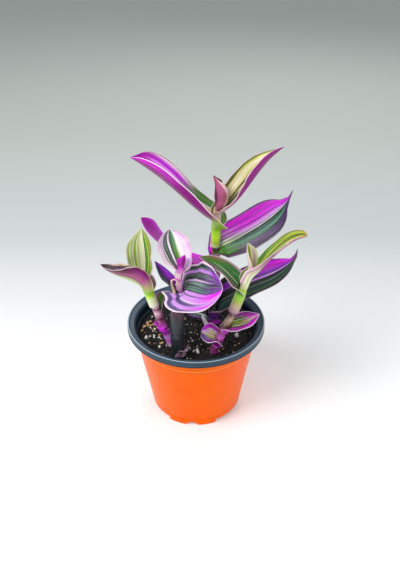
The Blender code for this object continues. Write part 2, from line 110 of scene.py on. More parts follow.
STEMS = {
    "tall": Stem([(13.6, 8.9, 58), (13.6, 8.9, 84), (13.8, 8.9, 122), (14.1, 8.9, 134),
                  (14.8, 8.9, 150), (15.1, 8.9, 157)],
                 [3.1, 3.1, 2.8, 2.6, 1.5, 0.5]),
    "thick": Stem([(-13, -31.7, 58), (-13, -31.7, 104), (-12.5, -31.7, 112),
                   (-11.6, -31.7, 119), (-11, -31.7, 134), (-10, -31.7, 141)],
                  [5.0, 5.0, 3.3, 2.3, 2.1, 1.0]),
    "left": Stem([(-14.9, -20, 58), (-22, -20, 79), (-26.3, -20, 92),
                  (-28.8, -20, 101), (-32, -20, 112), (-34, -20, 119)],
                 [2.8, 2.8, 2.8, 2.6, 1.6, 1.0]),
    "right": Stem([(9, -28.5, 58), (17.2, -28.5, 78.9), (19.4, -28.5, 87.4),
                   (26.3, -28.5, 102.6), (30.7, -28.5, 117), (32.4, -28.5, 122.5)],
                  [2.8, 2.8, 2.8, 2.5, 1.5, 0.5]),
}
# settings that several small leaves share
ROUND_TIP = (2.2, 0.6)
SMALL = {"opening": 0.3, "turning": 0.25, "wave": 0.3}
TINY = {"opening": 0.7, "turning": 0.5, "wave": 0.0}

# each row: stem, height, side, sheath, length, width, heading, rise, roll, cup
LEAVES = {
    "tall_leaf_1": Leaf("tall", 74.5, 0, 1.5, 89, 33, (-10, -11, 13), (62, 31, 72), (-47, -25, -13),
        (36, 56, 21), radius=3.8, base=0.55, widest=0.45, point=(2.8, 0.85), opening=0.12, turning=0.1,
        tail=0.12, hook=26),
    "tall_leaf_2": Leaf("tall", 69.6, 176, 1.2, 33.3, 25.4, (190, 182, 189), (21, 23, 25), (34, 28, 28),
        (44, 34, 27), radius=5.28, base=0.79, widest=0.49, opening=0.23, turning=0.28),
    "tall_leaf_3": Leaf("tall", 101, 180, 4, 79, 28, (178, 194, 174), (22, 42, 62), (10, -7, 23),
        (60, 26, 40), point=(3, 0.8), opening=0.14, turning=0.11),
    "tall_leaf_4": Leaf("tall", 121.5, 0, 5, 77, 28, (-6, 6, 4), (30, 32, 63), (-38, -50, -4),
        (47, 19, 21), base=0.84, widest=0.52, point=(3.4, 0.75), turning=0.11, tail=0.16, hook=16),
    "tall_leaf_5": Leaf("tall", 136, 180, 14, 82, 38, (188, 191, 171), (27, 47, 24), (4, 0, -4),
        (45, 55, 86), base=0.8, widest=0.45, point=(3.4, 0.65), opening=0.12, turning=0.08, tail=0.03),
    "tall_leaf_6": Leaf("tall", 150.7, -7, 6.3, 69.8, 27.5, (-4, 5, -6), (36, 53, 38), (9, -10, 31),
        (61, 68, 66), base=0.7, widest=0.47, opening=0.13, turning=0.07, wave=2.2, waves=1.2, lag=3.1),
    "tall_leaf_7": Leaf("tall", 159, 190, 4, 28, 20, (192, 184, 152), (83, 88, 69), (-12, -30, 0),
        (125, 100, 130), radius=0.95, base=0.2, widest=0.55, point=(2, 1.3), **SMALL),
    "thick_leaf_1": Leaf("thick", 119, -20, 3, 34.5, 44.5, (-18, -31, -21), (-22, 14, 46),
        (-26, -29, -25), (40, 40, 18), radius=4.52, base=0.25, widest=0.26, point=(2.2, 0.55),
        opening=0.14, turning=0.1, lobe=(8, 0)),
    "thick_leaf_2": Leaf("thick", 118, 180, 1, 31, 10, (169, 169, 164), (18, 45, 69), (26, 18, 12),
        (43, 34, 31), radius=2.9, wrap=0.7, **SMALL),
    "thick_leaf_3": Leaf("thick", 134, 120, 6, 28, 24, (125, 122, 106), (52, 50, 82), (7, 16, -5),
        (51, 46, 49), radius=2.7, base=0.6, point=ROUND_TIP, opening=0.19, turning=0.1),
    "thick_leaf_4": Leaf("thick", 139.5, -60, 3, 11, 10, (-40, -41, -50), (88, 72, 86), (-10, -9, 0),
        (92, 80, 57), radius=1.5, base=0.4, widest=0.4, **TINY),
    "left_leaf_1": Leaf("left", 94.8, 48, 1.6, 16.7, 9.5, (58, 41, 40), (61, 68, 43), (2, 0, 5),
        (61, 50, 38), wrap=0.6, base=0.89, widest=0.57, opening=0.22, turning=0.22, wave=0.3),
    "left_leaf_2": Leaf("left", 103.9, 179, 11.2, 41.7, 31.3, (179, 200, 173), (67, 33, 52),
        (17, -24, -9), (101, 80, 30), radius=3.12, base=0.7, widest=0.4, opening=0.12, turning=0.16,
        wave=2.3, waves=1, lag=-0.3),
    "left_leaf_3": Leaf("left", 115, 67, 8.3, 42.6, 24.6, (63, 75, 97), (66, 94, 88), (-24, 12, 7),
        (40, 66, 30), base=0.13, widest=0.48, opening=0.13, turning=0.16),
    "right_leaf_1": Leaf("right", 75, 180, 1, 16, 21, (190, 182, 178), (32, 26, 25), (-5, 5, 25),
        (50, 31, 4), wrap=0.8, point=ROUND_TIP, **SMALL),
    "right_leaf_2": Leaf("right", 88, 4, 1, 27.1, 16.3, (-11, 4, 9), (4, 17, 41), (-29, -18, -25),
        (54, 33, 37), radius=3.69, wrap=0.7, base=0.8, widest=0.41, opening=0.26, turning=0.18, wave=0.3,
        lobe=(4, 0)),
    "right_leaf_3": Leaf("right", 104.2, 165, 13.6, 43.2, 16.9, (150, 145, 152), (60, 24, 3), (25, 2, 21),
        (59, 42, 32), radius=3.28, base=0.91, widest=0.37, opening=0.2, turning=0.14),
    "right_leaf_4": Leaf("right", 115.9, -1, 8.8, 58.9, 23, (-13, 4, -32), (35, 51, 20), (32, 14, -8),
        (112, 40, 60), base=0.69, widest=0.36, point=(3.2, 0.6), opening=0.18, turning=0.14),
    "right_leaf_5": Leaf("right", 123.4, 134, 7.1, 28.1, 13.8, (136, 137, 114), (89, 87, 71),
        (-3, -16, -7), (89, 82, 45), radius=0.93, base=0.19, widest=0.54, opening=0.29, turning=0.25,
        wave=0.3),
    "thick_scale": Leaf("thick", 69.5, -40, 1, 8, 9, (-35, -30, -30), (30, 8, 0), (0, 0, 0), (60, 40, 30),
        wrap=0.4, **TINY),
    "left_scale": Leaf("left", 83, 180, 2, 6, 9, (185, 185, 190), (40, 20, 10), (0, 0, 0), (80, 50, 30),
        wrap=0.6, **TINY),
    "right_scale": Leaf("right", 69.6, 240, 1, 5, 6, (235, 235, 235), (15, 0, 0), (0, 0, 0), (70, 50, 40),
        radius=3.6, wrap=0.5, **TINY),
}

SHOOT_POINTS = [(10.4, -8, 60), (9.6, -8, 68), (8, -8, 77), (4.6, -8, 86)]
SHOOT_SHARES = [0, 0.33, 0.66, 0.94, 1]
SHOOT_RADII = [1.6, 1.6, 1.7, 1.2, 0.4]
STALK_HOOK = 2.0       # radius of the withered stalk's bent end
STALK_POINTS = [(-13.9, -38.6, 126.1), (-15.2, -38.6, 130.5), (-16.0, -38.6, 135.5)]
STALK_POINTS += [(-16.0 + STALK_HOOK * (1 - math.cos(math.radians(50 * k))),
                  -38.6 - 0.2 * k,
                  135.5 + STALK_HOOK * math.sin(math.radians(50 * k))) for k in range(1, 6)]
STALK_RADII = [0.9, 0.8, 0.6, 0.45, 0.45, 0.45, 0.45, 0.35]


# ---- the leaf's form ----
def unit(v):
    return v / np.linalg.norm(v, axis=-1, keepdims=True)


def ease(x):
    """Smooth rise from 0 to 1."""
    x = np.clip(x, 0, 1)
    return x * x * (3 - 2 * x)


def along(keys, t):
    """The smooth value through three keys, at the start, middle and end."""
    start, middle, end = keys
    return (start * (1 - t) * (1 - 2 * t) + middle * 4 * t * (1 - t)
            + end * t * (2 * t - 1))


def compass(heading, rise):
    """Unit vector at a heading round +Z from +X and a climb above the level."""
    return np.stack([np.cos(rise) * np.cos(heading), np.cos(rise) * np.sin(heading),
                     np.sin(rise)], -1)


def blade_width(leaf, t):
    """Half width along the blade, as a share of the widest."""
    rising = leaf.base + (1 - leaf.base) * np.sin(np.pi / 2 * np.clip(t / leaf.widest, 0, 1))
    end = 1 - 0.8 * leaf.tail
    rest = np.clip((t - leaf.widest) / (end - leaf.widest), 0, 1)
    power, sharpness = leaf.point
    falling = np.clip(1 - rest ** power, 0, 1) ** sharpness
    width = np.where(t < leaf.widest, rising, falling)
    if leaf.tail:
        width = np.maximum(width, TAIL_WIDTH * np.clip((1 - t) / leaf.tail, 0, 1) ** 0.7)
    return width


def leaf_frames(leaf, rows):
    """Stations from the sheath's foot (-1) past the blade's start (0) to the tip (1):
    place along the leaf, midrib point, side and facing directions, the radius of the
    sheath and the blade's own direction."""
    foot, grow, stem_radius = STEMS[leaf.stem].level(leaf.height)
    radius = leaf.radius or stem_radius + SHEATH_CLEAR
    out = compass(math.radians(leaf.side), 0.0)
    out = unit(out - grow * (out @ grow))
    sheath_rows = rows // 5
    blade = np.linspace(0, 1, rows - sheath_rows + 1)
    if leaf.tail:
        blade = np.append(blade[:-1] * (1 - leaf.tail) / blade[-2], (1 - leaf.tail / 2, 1))
    t = np.concatenate([np.linspace(-1, 0, sheath_rows, endpoint=False), blade])
    blade = np.clip(t, 0, 1)
    heading = np.radians(along(leaf.heading, blade))
    rise = np.radians(along(leaf.rise, blade))
    if leaf.tail:
        rise = rise + math.radians(leaf.hook) * ease((blade - 1 + leaf.tail) / leaf.tail)
    roll = np.radians(along(leaf.roll, blade))[:, None]
    flow = compass(heading, rise)
    face = compass(heading, rise + math.pi / 2)
    face = np.cos(roll) * face + np.sin(roll) * np.cross(face, flow)
    leaving = ease((t - leaf.opening / 2) / leaf.turning)[:, None]
    tangent = unit((1 - leaving) * grow + leaving * flow)
    face = (1 - leaving) * -out + leaving * face
    face = unit(face - tangent * np.sum(face * tangent, -1, keepdims=True))
    side = np.cross(face, tangent)
    reach = np.where(t < 0, t * leaf.sheath, t * leaf.length)
    steps = unit(tangent[:-1] + tangent[1:]) * np.diff(reach)[:, None]
    start = foot + out * radius
    midrib = start + np.concatenate([np.zeros((1, 3)), np.cumsum(steps, 0)])
    return t, midrib, side, face, radius, flow


def leaf_grid(leaf, rows, columns):
    """Stations, facing directions and the points of the upper face, row by row."""
    t, midrib, side, face, radius, flow = leaf_frames(leaf, rows)
    blade = np.clip(t, 0, 1)
    opened = ease(t / leaf.opening)
    spread = ease(t / (0.6 * leaf.opening))
    half = ((1 - spread) * math.pi * leaf.wrap * radius
            + spread * leaf.width / 2 * blade_width(leaf, blade))
    fold = (1 - opened) * math.pi * leaf.wrap + opened * np.radians(along(leaf.cup, blade))
    across = np.linspace(-1, 1, columns + 1)
    share = np.abs(across)[None, :]
    curl = np.maximum(fold[:, None] * share, 1e-6)
    # each half is an arc that starts level at the midrib and ends at the fold angle
    radius_row = half[:, None] / fold[:, None]
    sideways = radius_row * np.sin(curl) * np.sign(across)
    upward = radius_row * (1 - np.cos(curl))
    ripple = np.sin(2 * math.pi * leaf.waves * blade[:, None] + leaf.lag * np.sign(across))
    ripple = leaf.wave * ripple * share ** 2 * np.sin(math.pi * blade)[:, None]
    sideways = sideways - ripple * np.sin(curl) * np.sign(across)
    upward = upward + ripple * np.cos(curl)
    back = (opened * (1 - ease((t - 0.1) / 0.8)))[:, None]
    back = back * share ** 1.6 * np.where(across < 0, *leaf.lobe)
    points = (midrib[:, None] + sideways[..., None] * side[:, None]
              + upward[..., None] * face[:, None] - back[..., None] * flow[:, None])
    return t, face, points


# ---- meshes ----
def add_object(name, data):
    item = bpy.data.objects.new(name, data)
    bpy.context.scene.collection.objects.link(item)
    return item


def add_mesh(name, places, faces, materials, uv=None, indices=None):
    """A smooth mesh from points in millimetres, which rides on the root body."""
    data = bpy.data.meshes.new(name)
    data.from_pydata([tuple(p) for p in np.asarray(places) * MM], [], faces)
    for material in materials:
        data.materials.append(material)
    if indices is not None:
        data.polygons.foreach_set("material_index", indices)
    if uv is not None:
        layer = data.uv_layers.new(name="leaf")
        loops = np.zeros(len(data.loops), dtype=np.int32)
        data.loops.foreach_get("vertex_index", loops)
        layer.data.foreach_set("uv", np.asarray(uv)[loops].astype(np.float32).ravel())
    data.shade_smooth()
    data.update()
    item = add_object(name, data)
    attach(item, "root")
    return item


def add_fine(node, places, faces, materials, merge, uv=None, indices=None):
    """A finer piece in place of a CAD node; points nearer than merge become one."""
    item = add_mesh(node + "_fine", places, faces, materials, uv, indices)
    mesh = bmesh.new()
    mesh.from_mesh(item.data)
    bmesh.ops.remove_doubles(mesh, verts=mesh.verts, dist=merge * MM)
    bmesh.ops.recalc_face_normals(mesh, faces=mesh.faces)
    mesh.to_mesh(item.data)
    mesh.free()
    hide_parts(node)


def quads(rows, columns, start, flip, closed=False):
    """Faces of a grid of points stored row by row from index start."""
    faces = []
    for i in range(rows - 1):
        for j in range(columns if closed else columns - 1):
            a, b = start + i * columns + j, start + i * columns + (j + 1) % columns
            c, d = b + columns, a + columns
            faces.append((a, d, c, b) if flip else (a, b, c, d))
    return faces


# ---- fine leaves ----
FINE_GRID = (84, 36)   # rows and columns of a grown leaf
SMALL_GRID = (48, 24)
SMALL_LENGTH = 30.0    # leaves shorter than this take the small grid
EDGE_SHARE = 0.5       # thickness left at the margin
TIP_THINNING = 0.35    # thickness lost at the tip
GROOVE = 0.22          # depth of the midrib's groove, and height of the keel below it
GROOVE_WIDTH = 0.07    # as a share of half the leaf
CRIMP = 0.16           # height of the margin's fine crimps, for each mm of its waves
RIM_BULGE = 0.14       # how far the rounded margin stands out
MARGIN_MERGE = 0.02


def surface_normals(grid, towards):
    """Unit normals of a grid of points, on the side that each row faces."""
    across = np.gradient(grid, axis=1)
    normals = np.cross(np.gradient(grid, axis=0), across)
    normals /= np.maximum(np.linalg.norm(normals, axis=-1, keepdims=True), 1e-9)
    middle = normals[:, grid.shape[1] // 2]
    sign = np.where(np.sum(middle * towards, axis=-1) < 0, -1.0, 1.0)
    normals *= sign[:, None, None]
    normals[-1] = normals[-2]
    return normals


def add_fine_leaf(name, leaf, top, bottom):
    """The same form as the CAD leaf, with a grooved midrib, a keel and thin margins."""
    rows, columns = SMALL_GRID if leaf.length < SMALL_LENGTH else FINE_GRID
    t, face, grid = leaf_grid(leaf, rows, columns)
    across = np.linspace(-1, 1, columns + 1)
    normals = surface_normals(grid, face)
    blade = np.clip(t, 0, 1)[:, None]
    body = np.sin(np.pi * np.clip(blade, 0.02, 1) ** 0.7)
    rib = np.exp(-(across / GROOVE_WIDTH) ** 2)[None, :] * body * min(1.0, leaf.width / 20)
    phase = sum(map(ord, name)) % 7
    crimp = np.sin(31 * blade + 2.0 * across + phase) + 0.6 * np.sin(53 * blade + phase)
    crimp = CRIMP * leaf.wave * crimp * np.abs(across) ** 6 * body
    grid = grid + normals * (crimp - GROOVE * rib)[..., None]
    thick = BLADE * (1 - (1 - EDGE_SHARE) * np.abs(across) ** 2.5)[None, :]
    thick = thick * (1 - TIP_THINNING * blade ** 6)
    under = grid - normals * (thick + 0.6 * GROOVE * rib)[..., None]
    middle = (grid + under) / 2
    outward = np.stack([grid[:, 0] - grid[:, 1], grid[:, -1] - grid[:, -2]], 1)
    outward /= np.maximum(np.linalg.norm(outward, axis=-1, keepdims=True), 1e-9)
    rims = np.stack([middle[:, 0], middle[:, -1]], 1) + RIM_BULGE * outward
    places = np.concatenate([part.reshape(-1, 3) for part in (grid, under, rims)])
    uv = np.concatenate([
        np.stack(np.broadcast_arrays(t[:, None], places_across[None, :]), -1).reshape(-1, 2)
        for places_across in (across, across, np.array([-1.0, 1.0]))])
    # the upper face, the underside, and two strips that round each margin
    count, line = grid.shape[:2]
    total = count * line
    faces = quads(count, line, 0, True)
    indices = [0] * len(faces)
    faces += quads(count, line, total, False)
    indices += [1] * (len(faces) - len(indices))
    for i in range(count - 1):
        a, b = 2 * total + 2 * i, 2 * total + 2 * (i + 1)
        low, high = i * line, (i + 1) * line
        faces += [(low, a, b, high), (a, total + low, total + high, b)]
        low, high = low + line - 1, high + line - 1
        faces += [(low, high, b + 1, a + 1), (a + 1, b + 1, total + high, total + low)]
        indices += [0, 1, 0, 1]
    for j in range(line - 1):
        faces.append((j, j + 1, total + j + 1, total + j))
        indices.append(1)
    add_fine(name, places, faces, [top, bottom], MARGIN_MERGE, uv, indices)


# ---- fine stems ----
STEM_ROWS = 220
STEM_SIDES = 28
JOINT_CLEAR = 5.0      # a joint nearer to the soil than this has no swelling


def tube_rings(centres, radii, sides):
    """Rings of points round a line of centres, without twist."""
    centres = np.array(centres, float)
    tangents = unit(np.gradient(centres, axis=0))
    first = np.cross(tangents[0], (0.0, 1.0, 0.0))
    angles = np.linspace(0, 2 * np.pi, sides, endpoint=False)
    rings = []
    for centre, tangent, radius in zip(centres, tangents, radii):
        first = unit(first - tangent * (first @ tangent))
        second = np.cross(tangent, first)
        rings.append(centre + radius * (np.cos(angles)[:, None] * first
                                        + np.sin(angles)[:, None] * second))
    return np.array(rings)


def add_fine_tube(node, centres, radii, material, sides):
    """A closed tube along a line of centres."""
    rings = tube_rings(centres, radii, sides)
    count = len(rings)
    places = np.concatenate([rings.reshape(-1, 3), [centres[0]], [centres[-1]]])
    faces = quads(count, sides, 0, False, closed=True)
    last = (count - 1) * sides
    for k in range(sides):
        after = (k + 1) % sides
        faces.append((after, k, count * sides))
        faces.append((last + k, last + after, count * sides + 1))
    add_fine(node, places, faces, [material], 0.001)


def smooth_line(points, steps):
    """Points on a Catmull-Rom curve through the given ones."""
    points = np.array(points, float)
    points = np.concatenate([[2 * points[0] - points[1]], points,
                             [2 * points[-1] - points[-2]]])
    line = []
    for k in range(1, len(points) - 2):
        a, b, c, d = points[k - 1:k + 3]
        for s in np.linspace(0, 1, steps, endpoint=False):
            line.append(0.5 * (2 * b + (c - a) * s + (2 * a - 5 * b + 4 * c - d) * s ** 2
                               + (3 * b - a - 3 * c + d) * s ** 3))
    line.append(points[-2])
    return np.array(line)


def add_fine_stem(name, stem, material):
    """A stem with a soft swelling and a narrow ring at each leaf's node."""
    joints = [leaf.height for leaf in LEAVES.values()
              if leaf.stem == name and leaf.height > SOIL_LEVEL + JOINT_CLEAR]
    low, high = stem.points[0][2], stem.points[-1][2]
    centres, radii = [], []
    for z in np.linspace(low, high, STEM_ROWS):
        centre, _, radius = stem.level(min(z, high - 1e-6))
        radius *= 1 + 0.015 * math.sin(1.9 * z) * math.cos(0.7 * z)
        for height in joints:
            radius += 0.3 * math.exp(-((z - height + 1.5) / 0.9) ** 2)
            radius -= 0.15 * math.exp(-((z - height + 0.5) / 0.35) ** 2)
        centres.append(centre)
        radii.append(radius)
    add_fine_tube(name + "_stem", centres, radii, material, STEM_SIDES)


# ---- painting ----
COLORS = dict(
    white="f2f0ee", ink="1a1a20", rim="e8c4cc", pear="dfeeb0", magenta="c000bc", hot="e800f0",
    neon="ff14ff", berry="90087e", keel="4e1444", wine="74184a", rose="a84884", dusty="b85c88",
    maroon="521a32", lilac="e2a2f6", orchid="f2d4fa", blush="f8e2f0", pink="ec5ce8", violet="9a16d0",
    purple="64128a", grape="3c204e", plum="64465e", slate="5c4e84", heather="7c6c8e", lime="8cd20a",
    bright_lime="b8f00e", citron="aac034", grass="4a8a14", green="2c6c24", teal="225844", jade="4c8c6c",
    sage="5c7868", forest="183a2e", pine="141f20", olive="626c1e", moss="303812", cream="e2d2a0",
    ivory="ece8cc", beige="d0b090", mauve="b894a2", tan="b87e44", grey="8c8c8c", brown="6e5040",
    soot="1c2528")
RAMP_STOPS = 31        # a ramp node holds at most 32 stops


def linear(name):
    """Linear colour from a name in COLORS or a hex code such as "c81e64"."""
    code = COLORS.get(name, name)
    values = [int(code[k:k + 2], 16) / 255 for k in (0, 2, 4)]
    return tuple(v / 12.92 if v <= 0.04045 else ((v + 0.055) / 1.055) ** 2.4
                 for v in values)


def color_list(text):
    """(place, colour) pairs from text such as "-1 plum 0.4 hot"."""
    words = text.split()
    return [(float(place), color) for place, color in zip(words[::2], words[1::2])]


def band_stops(text, soft):
    """Ramp stops for bands: each colour starts at its place across the leaf, -1 to 1."""
    bands = color_list(text)
    stops = [(0.0, bands[0][1])]
    for (_, before), (start, after) in zip(bands, bands[1:]):
        place = (start + 1) / 2
        stops += [(place - soft, before), (place + soft, after)]
    return stops


def shaded_stops(text, low, high):
    """Ramp stops for colours that run into each other between low and high."""
    return [((place - low) / (high - low), color) for place, color in color_list(text)]


class Painter:
    """A material built of nodes.  Colours are names in COLORS or hex codes."""

    def __init__(self, name):
        self.material = bpy.data.materials.new(name)
        self.material.use_nodes = True
        self.tree = self.material.node_tree
        self.shader = self.tree.nodes["Principled BSDF"]

    def feed(self, socket, value):
        """Give a socket another one's output, a colour or a number."""
        if isinstance(value, bpy.types.NodeSocket):
            self.tree.links.new(value, socket)
        elif isinstance(value, str):
            socket.default_value = (*linear(value), 1.0)
        else:
            socket.default_value = value

    def make(self, kind, inputs, output=0, **settings):
        """One output of a new node, with its inputs fed by name or number."""
        node = self.tree.nodes.new(kind)
        for key, value in settings.items():
            setattr(node, key, value)
        for key, value in inputs.items():
            self.feed(node.inputs[key], value)
        return node.outputs[output]

    def math(self, operation, *values):
        return self.make("ShaderNodeMath", dict(enumerate(values)), operation=operation)

    def add(self, a, b, factor=1.0):
        """a + b * factor"""
        return self.math("MULTIPLY_ADD", b, factor, a)

    def times(self, a, b):
        return self.math("MULTIPLY", a, b)

    def sway(self, value, size, around=0.0):
        """A noise value made to swing by size round something else."""
        return self.add(around, self.math("SUBTRACT", value, 0.5), size)

    def to_share(self, value):
        """0 to 1 for a value from -1 to 1."""
        return self.math("MULTIPLY_ADD", value, 0.5, 0.5)

    def step(self, value, low, high, start=0.0, end=1.0):
        """Goes smoothly from start to end as the value goes from low to high."""
        return self.make("ShaderNodeMapRange", {
            "Value": value, "From Min": low, "From Max": high, "To Min": start,
            "To Max": end}, interpolation_type="SMOOTHSTEP")

    def mix(self, share, a, b, kind="MIX"):
        return self.make("ShaderNodeMix", {0: share, 6: a, 7: b}, 2, data_type="RGBA",
                         blend_type=kind)

    def ramp(self, value, stops):
        """Colour by value; a long list of stops is shared out between two ramps."""
        if len(stops) > RAMP_STOPS:
            half = len(stops) // 2 // 2 * 2
            border = (stops[half - 1][0] + stops[half][0]) / 2
            return self.mix(self.math("GREATER_THAN", value, border),
                            self.ramp(value, stops[:half]), self.ramp(value, stops[half:]))
        output = self.make("ShaderNodeValToRGB", {0: value})
        elements = output.node.color_ramp.elements
        while len(elements) > 1:
            elements.remove(elements[-1])
        for k, (place, color) in enumerate(stops):
            place = max(0.0, min(1.0, place))
            element = elements.new(place) if k else elements[0]
            element.position = place
            element.color = (*linear(color), 1.0)
        return output

    def place(self):
        return self.make("ShaderNodeTexCoord", {}, "Object")

    def split(self, vector):
        """The x, y and z of a vector."""
        return self.make("ShaderNodeSeparateXYZ", {0: vector}).node.outputs

    def join(self, *values):
        return self.make("ShaderNodeCombineXYZ", dict(enumerate(values)))

    def noise(self, vector, scale, detail=2.0, rough=0.5):
        return self.make("ShaderNodeTexNoise", {
            "Vector": vector, "Scale": scale, "Detail": detail, "Roughness": rough})

    def cells(self, vector, scale):
        """Distance to the nearest of many scattered points."""
        return self.make("ShaderNodeTexVoronoi", {"Vector": vector, "Scale": scale},
                         "Distance")

    def bump(self, height, distance, strength):
        """Bumps, distance millimetres high where the height given is 1."""
        self.feed(self.shader.inputs["Normal"], self.make("ShaderNodeBump", {
            "Strength": strength, "Distance": distance * MM, "Height": height}))

    def finish(self, color, roughness, **values):
        """The material, with the shader's other inputs given by name."""
        self.feed(self.shader.inputs["Base Color"], color)
        self.feed(self.shader.inputs["Roughness"], roughness)
        for key, value in values.items():
            self.feed(self.shader.inputs[key.replace("_", " ")], value)
        return self.material


# ---- looks of the leaves ----
@dataclass
class Look:
    """Stripes of one face as text, from the margin at -1 to the margin at 1."""
    near: str                        # at the blade's start
    far: str = ""                    # near its tip, if they differ there
    sheath: str = ""                 # along the leaf, -1 to 1
    turn: tuple = (0.3, 0.8)         # where along the blade near becomes far
    fade: tuple = (0.0, 0.12)        # where the sheath's colours give way
    tip: tuple = None                # (from, to along the blade, colour of the tip)
    rim: str = "rim"
    rim_width: float = 0.035
    soft: float = 0.012              # softness of the stripes' edges
    streak: float = 0.35             # strength of the fine lines
    speck: float = 0.1               # strength of the pale dots
    light: str = "white"             # colour of the pale fine lines
    dark: str = "ink"                # colour of the dark fine lines


MAGENTA_UNDER = "-1 magenta -0.35 berry -0.12 keel 0.12 berry 0.35 magenta"

